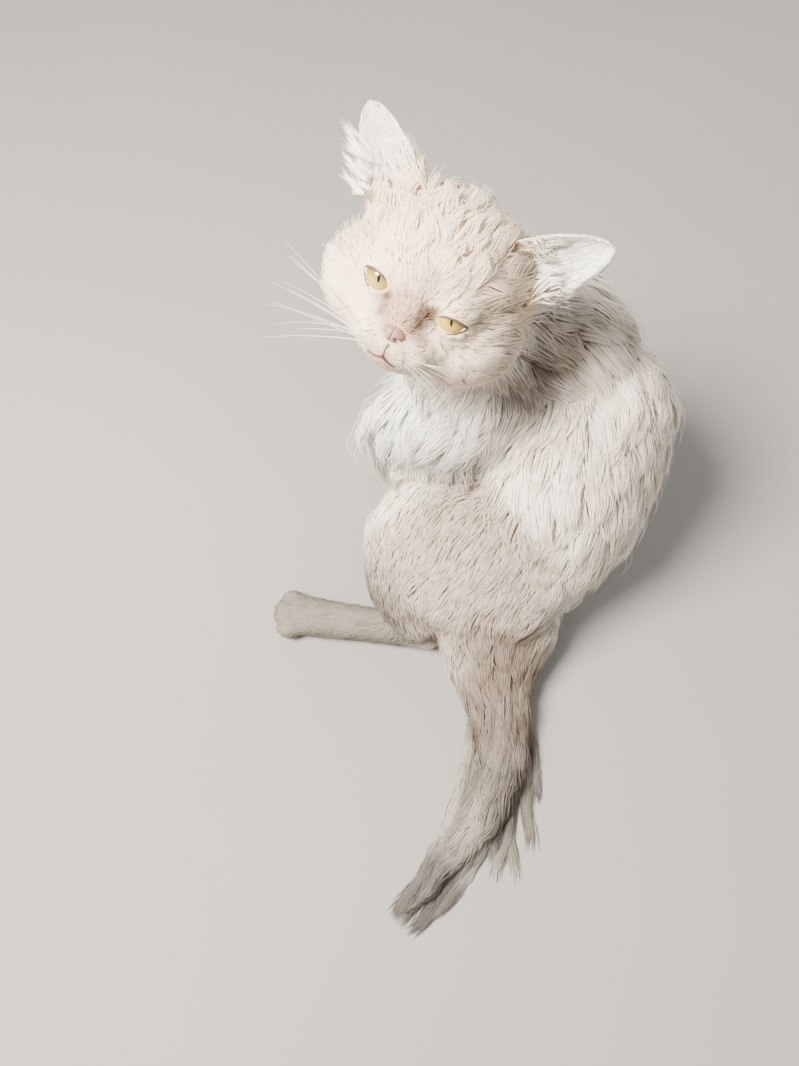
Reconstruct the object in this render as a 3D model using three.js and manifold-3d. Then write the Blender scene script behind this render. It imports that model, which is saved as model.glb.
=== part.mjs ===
// A long-haired Persian cat, life size, half lying on its right hip with its head turned back.
// Millimetres, +Z up, floor at z = 0. The places below are first written from a point on the floor
// in front of the cat, and the whole group is moved at the end so that its middle is the origin.

import * as THREE from 'three';
import { mergeVertices } from 'three/addons/utils/BufferGeometryUtils.js';
import { LoftGeometry } from 'three/addons/geometries/LoftGeometry.js';
import Module from 'manifold-3d';

const wasm = await Module();
wasm.setup();

const V = ( x, y, z ) => new THREE.Vector3( x, y, z );

// Driving sizes
const floorMiddle = V( 47, 192, 0 );
const jointGap = 0.42;
const lockWave = 0.12;
const endRoundness = 0.8;

// Head frame: where the face looks, where the crown points, and its middle
const headMiddle = V( 20.5, 309.5, 293 );
const faceForward = V( - 0.32, - 0.77, 0.55 ).normalize();
const crownHint = V( 0.448, 0.412, 0.793 );
const headLeft = new THREE.Vector3().crossVectors( crownHint, faceForward ).normalize();
const crownUp = new THREE.Vector3().crossVectors( faceForward, headLeft ).normalize();
const headFrame = new THREE.Matrix4().makeBasis( headLeft, crownUp, faceForward ).setPosition( headMiddle );

// Face sizes, in the head frame: left, up, forward
const eyeRadius = 10.2;
const eyeSide = 21.5;
const eyeUp = 1;
const eyeForward = 25;
const eyeOpeningWidth = 19;
const eyeOpeningHeight = 13;
const lidThickness = 1.5;
const noseMiddle = V( 0, - 16, 43 );
const noseRadii = [ 7, 4.5, 4.5 ];
const nostrilRadii = [ 1.5, 1.1, 2.4 ];
const nostrilSide = 3.4;
const earRootSide = 47;
const earRootUp = 38;
const earLength = 38;
const earWidth = 34;
const earThickness = 2.2;
const earSunk = 12;
const earNarrowing = 1.8;
const earRoundness = 0.62;
const earHollow = 0.55;
const mouthGroove = 1.1;

// Colours of the coat and skin
const cream = 0xe9e2d8;
const whiteBib = 0xe3e6e6;
const beige = 0xc9bcab;
const smoke = 0x7b716a;
const pinkLeather = 0xb99b90;
const gold = 0xd8c47c;

// The joined pieces of every node built so far, each a little enlarged, so later nodes stop short of them
const cutters = [];
const cat = new THREE.Group();

function merged( geometry ) {

	const plain = new THREE.BufferGeometry().copy( geometry );
	plain.deleteAttribute( 'normal' );
	plain.deleteAttribute( 'uv' );
	return mergeVertices( plain, 1e-4 );

}

// Every face of a body moved outward by the distance: each corner goes where its moved faces meet
function enlarged( geometry, distance ) {

	const copy = merged( geometry );
	const place = copy.attributes.position;
	const faceNormals = Array.from( { length: place.count }, () => [] );
	const corners = [ V( 0, 0, 0 ), V( 0, 0, 0 ), V( 0, 0, 0 ) ];
	for ( let i = 0; i < copy.index.count; i += 3 ) {

		corners.forEach( ( corner, k ) => corner.fromBufferAttribute( place, copy.index.getX( i + k ) ) );
		const normal = new THREE.Triangle( ...corners ).getNormal( V( 0, 0, 0 ) );
		for ( let k = 0; k < 3; k ++ ) faceNormals[ copy.index.getX( i + k ) ].push( normal );

	}

	faceNormals.forEach( ( normals, i ) => {

		const sum = V( 0, 0, 0 );
		const square = [ 1e-3, 0, 0, 0, 1e-3, 0, 0, 0, 1e-3 ];
		for ( const normal of normals ) {

			const n = normal.toArray();
			sum.add( normal );
			for ( let k = 0; k < 9; k ++ ) square[ k ] += n[ Math.floor( k / 3 ) ] * n[ k % 3 ];

		}

		const meeting = new THREE.Matrix3().set( ...square ).invert();
		const shift = sum.multiplyScalar( distance ).applyMatrix3( meeting );
		shift.clampLength( 0, 6 * distance );
		place.setXYZ( i, place.getX( i ) + shift.x, place.getY( i ) + shift.y, place.getZ( i ) + shift.z );

	} );
	return copy;

}

function toSolid( geometry ) {

	const whole = merged( geometry );
	return new wasm.Manifold( new wasm.Mesh( {
		numProp: 3,
		vertProperties: new Float32Array( whole.attributes.position.array ),
		triVerts: new Uint32Array( whole.index.array )
	} ) );

}

function toGeometry( solid ) {

	const mesh = solid.getMesh();
	const geometry = new THREE.BufferGeometry();
	const places = new Float32Array( mesh.vertProperties );
	geometry.setAttribute( 'position', new THREE.BufferAttribute( places, 3 ) );
	geometry.setIndex( new THREE.BufferAttribute( new Uint32Array( mesh.triVerts ), 1 ) );
	return geometry;

}

function joined( geometries ) {

	let whole = toSolid( geometries[ 0 ] );
	for ( const geometry of geometries.slice( 1 ) ) whole = whole.add( toSolid( geometry ) );
	return whole;

}

function largest( solid ) {

	let best = null;
	for ( const piece of solid.decompose() ) {

		if ( best === null || piece.volume() > best.volume() ) best = piece;

	}

	return best;

}

const belowFloor = toSolid( new THREE.BoxGeometry( 900, 1200, 200 ).translate( 0, 200, - 100 ) );

// A node is its joined pieces, less its hollows, the floor below it and the nodes that were built before it
function addNode( name, pieces, color, { hollows = [], cuts = true } = {} ) {

	let solid = joined( pieces );
	for ( const hollow of hollows ) solid = solid.subtract( toSolid( hollow ) );
	solid = solid.subtract( belowFloor );
	for ( const cutter of cutters ) solid = solid.subtract( cutter );
	solid = largest( solid );
	const material = new THREE.MeshStandardMaterial( { color, roughness: 0.85, metalness: 0 } );
	const mesh = new THREE.Mesh( toGeometry( solid ), material );
	mesh.name = name;
	cat.add( mesh );
	if ( cuts ) cutters.push( joined( pieces.flatMap( piece => [ enlarged( piece, jointGap ), piece ] ) ) );

}

// The form of a limb or trunk along a smooth curve. Each station is [ x, y, z, half width, half depth ],
// and each back is the way the dorsal side faces there. It gives the frame of any place along the form.
function bodyForm( stations, backs ) {

	const smooth = ( points, kind = 'catmullrom' ) => new THREE.CatmullRomCurve3( points, false, kind );
	const path = smooth( stations.map( ( [ x, y, z ] ) => V( x, y, z ) ), 'centripetal' );
	const sizes = smooth( stations.map( ( [ , , , wide, deep ] ) => V( wide, deep, 0 ) ) );
	const back = smooth( backs.map( way => V( ...way ) ) );
	const length = path.getLength();
	return place => {

		const t = THREE.MathUtils.clamp( place, 0, 1 );
		const along = path.getTangent( t );
		const middle = path.getPoint( t ).addScaledVector( along, ( place - t ) * length );
		const side = new THREE.Vector3().crossVectors( back.getPoint( t ), along ).normalize();
		const up = new THREE.Vector3().crossVectors( along, side ).normalize();
		const size = sizes.getPoint( t );
		return { middle, along, side, up, wide: size.x, deep: size.y };

	};

}

// A place on a form's skin: how far along it, the turn round it from its side, and the height above it
function onForm( form ) {

	return ( t, turn, height ) => {

		const { middle, side, up, wide, deep } = form( t );
		const c = Math.cos( turn );
		const s = Math.sin( turn );
		const outward = side.clone().multiplyScalar( c / wide ).addScaledVector( up, s / deep ).normalize();
		return middle.addScaledVector( side, c * wide ).addScaledVector( up, s * deep )
			.addScaledVector( outward, height );

	};

}

// The skin of a form between two places along it, with round ends
function limb( form, { from = 0, to = 1, steps = 8, sides = 14, caps = [ 74, 44, 20 ] } = {} ) {

	const rings = [];
	const ring = ( t, shift, scale ) => {

		const { middle, along, side, up, wide, deep } = form( t );
		middle.addScaledVector( along, shift );
		const points = [];
		for ( let i = 0; i < sides; i ++ ) {

			const angle = i / sides * Math.PI * 2;
			points.push( middle.clone()
				.addScaledVector( side, Math.cos( angle ) * wide * scale )
				.addScaledVector( up, Math.sin( angle ) * deep * scale ) );

		}

		return points;

	};

	const endDepth = t => ( form( t ).wide + form( t ).deep ) / 2 * endRoundness;
	const capTurns = caps.map( THREE.MathUtils.degToRad );
	const cap = ( t, turn, sense ) => ring( t, sense * Math.sin( turn ) * endDepth( t ), Math.cos( turn ) );
	for ( const turn of capTurns ) rings.push( cap( from, turn, - 1 ) );
	for ( let i = 0; i <= steps; i ++ ) rings.push( ring( from + ( to - from ) * i / steps, 0, 1 ) );
	for ( const turn of capTurns.reverse() ) rings.push( cap( to, turn, 1 ) );
	return new LoftGeometry( rings, { capStart: true, capEnd: true } );

}

// A lock of hair: a flat blade with a ridge along its top, rooted under the skin and tapering to its tip.
// place gives a point from how far along, the turn round and the height; start and end are [ along, turn ].
function lock( place, start, end, { width, thick, lift, wave = 0, root = 4 } ) {

	const widths = [ 0.6, 1, 0.72, 0.07 ];
	const heights = [ - root, 0.12 * lift, 0.55 * lift, lift ];
	const point = ( s, height ) => place(
		THREE.MathUtils.lerp( start[ 0 ], end[ 0 ], s ),
		THREE.MathUtils.lerp( start[ 1 ], end[ 1 ], s ) + wave * Math.sin( s * Math.PI * 2 ), height );
	const middles = heights.map( ( height, i ) => point( i / 3, height ) );
	const sections = widths.map( ( share, i ) => {

		const middle = middles[ i ];
		const normal = point( i / 3, 1 ).sub( point( i / 3, 0 ) ).normalize();
		const tangent = middles[ Math.min( i + 1, 3 ) ].clone().sub( middles[ Math.max( i - 1, 0 ) ] );
		const across = new THREE.Vector3().crossVectors( normal, tangent ).normalize();
		const half = width * share / 2;
		const ridge = thick * Math.max( share, 0.12 );
		return [
			middle.clone().addScaledVector( across, half ).addScaledVector( normal, - 0.3 * ridge ),
			middle.clone().addScaledVector( normal, 0.7 * ridge ),
			middle.clone().addScaledVector( across, - half ).addScaledVector( normal, - 0.3 * ridge )
		];

	} );
	return new LoftGeometry( sections, { capStart: true, capEnd: true } );

}

const between = ( low, high ) => low + ( high - low ) * THREE.MathUtils.seededRandom();

// Rows of locks over a form. Each row starts at its place along the form and runs by reach, which is
// negative where the hair lies back towards the form's start. Odd rows stand between the even ones.
function coat( place, { rows, turns, reach, width, thick = 5, lift, splay = 0, root } ) {

	const [ low, high, count ] = turns;
	return rows.flatMap( ( row, r ) => Array.from( { length: count }, ( _, i ) => {

		const turn = low + ( high - low ) * ( i + ( r % 2 ) * 0.5 + between( - 0.18, 0.18 ) ) / count;
		const along = row + between( - 0.12, 0.12 ) * reach;
		const far = along + reach * between( 0.85, 1.15 );
		return lock( place, [ along, turn ], [ far, turn + between( - 0.1, 0.1 ) ], {
			width: width * between( 0.85, 1.15 ), thick,
			lift: lift * between( 0.75, 1.2 ) + splay * Math.max( Math.cos( turn ), 0 ) * between( 0.6, 1.1 ),
			wave: lockWave * between( - 1, 1 ), root
		} );

	} ) );

}

// An egg: a sphere stretched along three axes, turned so that its third axis points along a direction
function egg( middle, radii, pointing = V( 0, 0, 1 ), segments = 20 ) {

	const turn = new THREE.Quaternion().setFromUnitVectors( V( 0, 0, 1 ), pointing.clone().normalize() );
	return new THREE.SphereGeometry( 1, segments, Math.round( segments * 0.6 ) )
		.applyMatrix4( new THREE.Matrix4().compose( middle, turn, V( ...radii ) ) );

}

// The head is a sphere of points moved out onto a smooth blend of rounded masses
const headMasses = [
	{ at: [ 0, 15, - 16 ], radii: [ 51, 37, 45 ] },
	{ at: [ 31, - 14, 0 ], radii: [ 29, 26, 29 ] },
	{ at: [ - 31, - 14, 0 ], radii: [ 29, 26, 29 ] },
	{ at: [ 0, 17, 10 ], radii: [ 36, 21, 23 ] },
	{ at: [ 9.5, - 22, 33 ], radii: [ 13, 9.5, 13 ] },
	{ at: [ - 9.5, - 22, 33 ], radii: [ 13, 9.5, 13 ] },
	{ at: [ 0, - 33, 27 ], radii: [ 12, 8, 12 ] },
	{ at: [ 0, - 6, 32 ], radii: [ 10, 14, 11 ] },
	{ at: [ 0, - 24, 8 ], radii: [ 36, 20, 28 ] },
	{ at: [ eyeSide, eyeUp, eyeForward ], radii: Array( 3 ).fill( eyeRadius + lidThickness ) },
	{ at: [ - eyeSide, eyeUp, eyeForward ], radii: Array( 3 ).fill( eyeRadius + lidThickness ) }
];
const headBlend = 10;

function headDistance( x, y, z ) {

	let nearest = 1e3;
	for ( const mass of headMasses ) {

		const [ a, b, c ] = mass.radii;
		const reach = Math.hypot( ( x - mass.at[ 0 ] ) / a, ( y - mass.at[ 1 ] ) / b, ( z - mass.at[ 2 ] ) / c );
		const distance = ( reach - 1 ) * Math.min( a, b, c );
		const mix = Math.max( headBlend - Math.abs( nearest - distance ), 0 ) / headBlend;
		nearest = Math.min( nearest, distance ) - mix * mix * headBlend / 4;

	}

	return nearest;

}

function headReach( direction ) {

	let outside = 95;
	while ( outside > 5 && headDistance( ...direction.clone().multiplyScalar( outside ) ) > 0 ) outside -= 1.5;
	let inside = outside;
	outside += 1.5;
	for ( let i = 0; i < 14; i ++ ) {

		const middle = ( inside + outside ) / 2;
		if ( headDistance( ...direction.clone().multiplyScalar( middle ) ) > 0 ) outside = middle;
		else inside = middle;

	}

	return inside;

}

function headSkin() {

	const ball = merged( new THREE.SphereGeometry( 1, 30, 22 ).rotateX( Math.PI / 2 ) );
	const place = ball.attributes.position;
	for ( let i = 0; i < place.count; i ++ ) {

		const direction = new THREE.Vector3().fromBufferAttribute( place, i ).normalize();
		const point = direction.multiplyScalar( headReach( direction ) );
		place.setXYZ( i, point.x, point.y, point.z );

	}

	return ball.applyMatrix4( headFrame );

}

const inHead = ( x, y, z ) => V( x, y, z ).applyMatrix4( headFrame );

function eyeBall( side, extra ) {

	const middle = inHead( side * eyeSide, eyeUp, eyeForward );
	return egg( middle, Array( 3 ).fill( eyeRadius + extra ), faceForward, 12 );

}

// The almond between the lids, cut straight forward from inside the eye
function eyeOpening( side ) {

	const rings = [ 4, 24 ].map( forward => {

		const points = [];
		for ( let i = 0; i < 16; i ++ ) {

			const angle = i / 16 * Math.PI * 2;
			const across = Math.cos( angle ) * eyeOpeningWidth / 2;
			const lift = Math.sin( angle ) * eyeOpeningHeight / 2 * ( 1 - 0.35 * Math.cos( angle ) ** 2 );
			const slant = side * across * 0.12;
			const left = side * ( eyeSide + 0.5 ) + across;
			points.push( inHead( left, eyeUp + lift + slant, eyeForward + forward ) );

		}

		return points;

	} );
	return new LoftGeometry( rings, { capStart: true, capEnd: true } );

}

// The cup of an ear: crescent sections from a wide root to a rounded tip
function earCup( side ) {

	const root = inHead( side * earRootSide, earRootUp, - 12 );
	const lengthWay = V( side * 0.72, 0.68, - 0.06 ).normalize();
	const openWay = V( side * 0.25, 0.15, 0.95 );
	const acrossWay = new THREE.Vector3().crossVectors( openWay, lengthWay ).normalize();
	const facing = new THREE.Vector3().crossVectors( lengthWay, acrossWay ).normalize();
	const turned = new THREE.Matrix4().extractRotation( headFrame );
	for ( const way of [ lengthWay, acrossWay, facing ] ) way.applyMatrix4( turned );
	const rings = [];
	for ( let i = 0; i <= 7; i ++ ) {

		const up = i / 7;
		const half = earWidth / 2 * Math.pow( 1 - up ** earNarrowing, earRoundness ) + 1.6;
		const cup = earHollow * half * ( 1 - 0.5 * up );
		const middle = root.clone().addScaledVector( lengthWay, up * ( earLength + earSunk ) - earSunk );
		const outer = [];
		const inner = [];
		for ( let k = 0; k <= 6; k ++ ) {

			const s = k / 3 - 1;
			const bow = cup * ( s * s );
			const thick = earThickness * ( 1 - 0.6 * s * s ) * ( 1 - 0.4 * up );
			const onSheet = middle.clone().addScaledVector( facing, bow - cup * 0.5 );
			outer.push( onSheet.clone().addScaledVector( acrossWay, s * half )
				.addScaledVector( facing, - thick / 2 ) );
			inner.push( onSheet.clone().addScaledVector( acrossWay, s * half * 0.94 )
				.addScaledVector( facing, thick / 2 ) );

		}

		rings.push( outer.concat( inner.reverse() ) );

	}

	return new LoftGeometry( rings, { capStart: true, capEnd: true } );

}

// A point on the skin of the head, found along a direction from its middle
function onHead( x, y, z ) {

	const direction = V( x, y, z ).normalize();
	return direction.multiplyScalar( headReach( direction ) ).applyMatrix4( headFrame );

}

// The line of the mouth: a groove from each corner up to the middle, and the short one below the nose
function mouthLines() {

	const corners = [ 1, - 1 ].map( side => [
		[ 0, - 23.5, 44 ], [ side * 5, - 27, 42 ], [ side * 12, - 28.5, 36 ], [ side * 19, - 27, 29 ]
	] );
	const middle = [ [ 0, - 19, 44 ], [ 0, - 24, 44 ] ];
	return [ ...corners, middle ].map( line => {

		const stations = line.map( place => [ ...onHead( ...place ), mouthGroove, mouthGroove ] );
		return limb( bodyForm( stations, line.map( () => faceForward.toArray() ) ), { steps: 3, sides: 4 } );

	} );

}

// A place on the head for its locks: from the face, 0, to the back, 1, and the turn from its left side
function onSkull( t, turn, height ) {

	const polar = t * Math.PI;
	const out = Math.sin( polar );
	const direction = V( Math.cos( turn ) * out, Math.sin( turn ) * out, Math.cos( polar ) );
	return direction.multiplyScalar( headReach( direction ) + height ).applyMatrix4( headFrame );

}

function nostril( side ) {

	const middle = inHead( side * nostrilSide, noseMiddle.y - 0.6, noseMiddle.z + 3.6 );
	return egg( middle, nostrilRadii, faceForward, 8 );

}

for ( const [ name, side ] of [ [ 'eye_left', 1 ], [ 'eye_right', - 1 ] ] ) {

	addNode( name, [ eyeBall( side, 0 ) ], gold, { cuts: false } );

}

const degrees = THREE.MathUtils.degToRad;
const crownLocks = coat( onSkull, {
	rows: [ 0.28, 0.39, 0.5 ], turns: [ degrees( 52 ), degrees( 128 ), 4 ], reach: 0.16,
	width: 16, thick: 4, lift: 7
} );
const napeLocks = coat( onSkull, {
	rows: [ 0.66 ], turns: [ degrees( 20 ), degrees( 160 ), 4 ], reach: 0.24,
	width: 28, thick: 4, lift: 7
} );
const leftCheekLocks = coat( onSkull, {
	rows: [ 0.4, 0.52 ], turns: [ degrees( - 66 ), degrees( 14 ), 3 ], reach: 0.18,
	width: 20, thick: 4, lift: 15
} );
const rightCheekLocks = coat( onSkull, {
	rows: [ 0.4, 0.52 ], turns: [ degrees( 166 ), degrees( 246 ), 3 ], reach: 0.18,
	width: 20, thick: 4, lift: 13
} );
const earTuft = [ 148, 157, 166 ].map( turn => lock( onSkull,
	[ 0.48, degrees( turn ) ], [ 0.56, degrees( turn - 8 ) ], { width: 10, thick: 3, lift: 32 } ) );
const sockets = [ 1, - 1 ].flatMap( side => [ eyeBall( side, jointGap ), eyeOpening( side ) ] );
addNode( 'head', [
	headSkin(), ...crownLocks, ...napeLocks, ...leftCheekLocks, ...rightCheekLocks, ...earTuft
], cream, { hollows: [ ...sockets, ...mouthLines() ] } );
addNode( 'ear_left', [ earCup( 1 ) ], cream );
addNode( 'ear_right', [ earCup( - 1 ) ], cream );
addNode( 'nose', [ egg( inHead( ...noseMiddle ), noseRadii, faceForward, 12 ) ], pinkLeather, {
	hollows: [ nostril( 1 ), nostril( - 1 ) ]
} );

// Four round toes, set side by side across the end of a paw
function toes( end, way, reach ) {

	const forward = V( ...way ).normalize();
	const across = V( - forward.y, forward.x, 0 );
	return [ - 1.5, - 0.5, 0.5, 1.5 ].map( place => {

		const middle = V( ...end ).addScaledVector( across, place * reach * 0.56 )
			.addScaledVector( forward, reach * ( 0.5 - 0.14 * place * place ) );
		return egg( middle, [ reach * 0.38, reach * 0.48, reach * 0.62 ], forward, 6 );

	} );

}

const skyward = [ 0, 0, 1 ];
const fullTurn = Math.PI * 2;
const bluntEnds = [ 68, 32 ];

// Left hind foot, flat on the floor, and the shank that rises from its heel
const footLeft = bodyForm( [
	[ 22, 202, 15, 16, 17 ], [ - 26, 208, 12.5, 15, 14 ], [ - 84, 218, 12, 18, 14 ]
], [ skyward, skyward, skyward ] );
addNode( 'foot_left', [
	limb( footLeft, { steps: 4, sides: 10, caps: bluntEnds } ),
	...toes( [ - 88, 219, 10 ], [ - 1, 0.15, 0 ], 17 )
], beige );
const shankLeft = bodyForm( [
	[ - 1, 261, 80, 29, 25 ], [ 2, 231, 49.5, 28, 25.5 ], [ 18, 207, 26, 22, 21 ]
], [ [ - 1, 0, 0.5 ], [ - 1, 0, 0.5 ], [ - 1, 0, 0.5 ] ] );
addNode( 'shank_left', [ limb( shankLeft, { steps: 4, sides: 10, caps: bluntEnds } ) ], beige );

// Right hind leg, folded flat beneath
const footRight = bodyForm( [
	[ 64, 243, 13, 14, 14 ], [ 34, 243, 12, 14, 13 ], [ 4, 242, 11, 16, 12 ]
], [ skyward, skyward, skyward ] );
addNode( 'foot_right', [
	limb( footRight, { steps: 3, sides: 10, caps: bluntEnds } ),
	...toes( [ 0, 242, 10 ], [ - 1, 0, 0 ], 15 )
], beige );
const shankRight = bodyForm( [
	[ 30, 296, 18, 20, 19 ], [ 52, 268, 16, 20, 17 ], [ 70, 244, 14, 16, 15 ]
], [ skyward, skyward, skyward ] );
addNode( 'shank_right', [ limb( shankRight, { steps: 3, sides: 10, caps: bluntEnds } ) ], beige );
const thighRight = bodyForm( [
	[ 106, 256, 30, 34, 32 ], [ 66, 280, 28, 34, 30 ], [ 34, 298, 24, 26, 26 ]
], [ skyward, skyward, skyward ] );
addNode( 'thigh_right', [ limb( thighRight, { steps: 4, sides: 10, caps: bluntEnds } ) ], beige );

// Forelegs, upright under the chest, and their paws
const forelegBack = [ 1, 0, 0.3 ];
for ( const [ side, y ] of [ [ 'left', 322 ], [ 'right', 362 ] ] ) {

	const forepaw = bodyForm( [
		[ 44, y, 16, 14, 16 ], [ 30, y, 12, 15, 14 ], [ 14, y, 11, 16, 12.5 ]
	], [ skyward, skyward, skyward ] );
	addNode( 'forepaw_' + side, [
		limb( forepaw, { steps: 2, sides: 10, caps: bluntEnds } ),
		...toes( [ 10, y, 10 ], [ - 1, 0, 0 ], 16 )
	], cream );
	const foreleg = bodyForm( [
		[ 72, y - 11, 122, 32, 34 ], [ 66, y - 6, 90, 26, 27 ], [ 54, y, 58, 14, 15 ], [ 48, y, 30, 13, 13 ]
	], [ forelegBack, forelegBack, forelegBack, forelegBack ] );
	addNode( 'foreleg_' + side, [ limb( foreleg, { steps: 4, sides: 10, caps: bluntEnds } ) ], cream );

}

// Left thigh, lying over the right one
const thighBack = [ 0, - 0.5, 1 ];
const thighLeft = bodyForm( [
	[ 92, 216, 66, 44, 36 ], [ 48, 234, 79, 57, 39 ], [ 12, 268, 93, 39, 33 ]
], [ thighBack, thighBack, thighBack ] );
addNode( 'thigh_left', [ limb( thighLeft, { steps: 5 } ), ...coat( onForm( thighLeft ), {
	rows: [ 0.42, 0.18 ], turns: [ degrees( - 10 ), degrees( 190 ), 3 ], reach: - 0.32,
	width: 34, thick: 4, lift: 4
} ) ], beige );

// The trunk from the tail to the shoulders, parted into rump and ribs
const rumpBack = [ 0.6, - 0.3, 0.6 ];
const torso = bodyForm( [
	[ 88, 226, 42, 38, 38 ], [ 102, 242, 56, 46, 46 ], [ 116, 260, 82, 59, 54 ],
	[ 128, 288, 114, 71, 62 ], [ 134, 320, 156, 66, 64 ]
], [ rumpBack, rumpBack, rumpBack, [ 0.7, - 0.2, 0.8 ], [ 0.6, 0, 1 ] ] );
const onTorso = onForm( torso );
addNode( 'ribs', [ limb( torso, { from: 0.5, steps: 5, sides: 16 } ), ...coat( onTorso, {
	rows: [ 1.2, 0.98, 0.78, 0.6 ], turns: [ 0, fullTurn, 7 ], reach: - 0.3, width: 36, lift: 9
} ) ], cream );
addNode( 'rump', [ limb( torso, { to: 0.5, steps: 4, sides: 14 } ), ...coat( onTorso, {
	rows: [ 0.4, 0.24 ], turns: [ degrees( - 40 ), degrees( 140 ), 3 ], reach: - 0.25, width: 32, lift: 7
} ) ], cream );

// Chest with its bib, and the neck turned back over it
const chest = bodyForm( [
	[ 112, 322, 164, 40, 48 ], [ 82, 324, 168, 43, 50 ], [ 42, 318, 162, 39, 46 ], [ 10, 312, 152, 27, 32 ]
], [ [ 0.2, 0, 1 ], [ 0.2, 0, 1 ], skyward, skyward ] );
addNode( 'chest', [ limb( chest, { from: 0.25, steps: 5 } ), ...coat( onForm( chest ), {
	rows: [ 0.55, 0.82 ], turns: [ 0, fullTurn, 5 ], reach: 0.36, width: 32, lift: 9
} ) ], whiteBib );
const neck = bodyForm( [
	[ 112, 340, 192, 52, 54 ], [ 84, 342, 224, 50, 50 ], [ 52, 336, 258, 44, 44 ]
], [ [ 1, 0, 0.6 ], [ 1, 0, 0.6 ], [ 1, 0.2, 0.6 ] ] );
addNode( 'neck', [ limb( neck, { steps: 4 } ), ...coat( onForm( neck ), {
	rows: [ 1.0, 0.5 ], turns: [ 0, fullTurn, 6 ], reach: - 0.7, width: 42, lift: 13
} ) ], cream );

// Tail, laid on the floor in three lengths
const tail = bodyForm( [
	[ 82, 206, 34, 44, 32 ], [ 70, 176, 25, 36, 24 ], [ 74, 142, 15, 25, 14 ], [ 75, 100, 11, 19, 9.5 ],
	[ 58, 58, 8.5, 14, 7.5 ], [ 30, 26, 7, 8, 6 ], [ 4, - 2, 5, 3, 4 ]
], Array( 7 ).fill( skyward ) );
const onTail = onForm( tail );
addNode( 'tail_root', [ limb( tail, { to: 0.34, steps: 4, sides: 12 } ), ...coat( onTail, {
	rows: [ 0.04, 0.2 ], turns: [ degrees( - 15 ), degrees( 195 ), 4 ], reach: 0.24,
	width: 23, thick: 4, lift: 7, root: 3
} ) ], beige );
addNode( 'tail_middle', [ limb( tail, { from: 0.34, to: 0.7, steps: 3, sides: 10 } ), ...coat( onTail, {
	rows: [ 0.34, 0.48, 0.6 ], turns: [ degrees( - 12 ), degrees( 192 ), 3 ], reach: 0.27,
	width: 17, thick: 4, lift: 8, splay: 16, root: 3
} ) ], beige );
addNode( 'tail_tip', [ limb( tail, { from: 0.7, steps: 3, sides: 8 } ), ...coat( onTail, {
	rows: [ 0.72, 0.84 ], turns: [ degrees( - 12 ), degrees( 192 ), 3 ], reach: 0.22,
	width: 13, thick: 3.5, lift: 6, splay: 5, root: 2
} ) ], smoke );

cat.position.copy( floorMiddle ).negate();

export default cat;
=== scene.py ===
# A cream long-haired Persian cat, life size and still, half lying on its right hip with its head
# turned back. Blender works in metres, and the cat's own sizes are written in millimetres.

import math

import bmesh
import bpy
import numpy as np
from mathutils import Matrix, Vector, kdtree
from mathutils.bvhtree import BVHTree


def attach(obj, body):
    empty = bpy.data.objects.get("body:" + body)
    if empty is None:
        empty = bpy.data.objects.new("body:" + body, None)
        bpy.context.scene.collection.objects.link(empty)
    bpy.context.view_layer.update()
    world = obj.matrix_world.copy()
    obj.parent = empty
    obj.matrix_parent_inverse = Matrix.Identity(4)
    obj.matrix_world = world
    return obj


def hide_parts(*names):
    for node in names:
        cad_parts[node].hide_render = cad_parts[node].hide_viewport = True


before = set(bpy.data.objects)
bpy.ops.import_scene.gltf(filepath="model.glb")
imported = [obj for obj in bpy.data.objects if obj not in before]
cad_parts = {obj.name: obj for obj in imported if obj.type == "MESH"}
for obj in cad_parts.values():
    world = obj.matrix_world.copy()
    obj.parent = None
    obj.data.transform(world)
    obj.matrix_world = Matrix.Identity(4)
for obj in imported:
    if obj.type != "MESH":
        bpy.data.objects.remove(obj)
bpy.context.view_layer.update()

# The skin of the body: one closed surface over trunk, neck, legs, paws and tail.
# It is the animal's hide, drawn from the same limb sizes as the solids but thinner by the coat's depth.
# Round masses along each limb are joined, remeshed to one surface and smoothed.
MM = 0.001
# From the point below the camera to the middle of the floor that the cat covers
FLOOR_MIDDLE = np.array([47.0, 192.0, 0.0])

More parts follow.
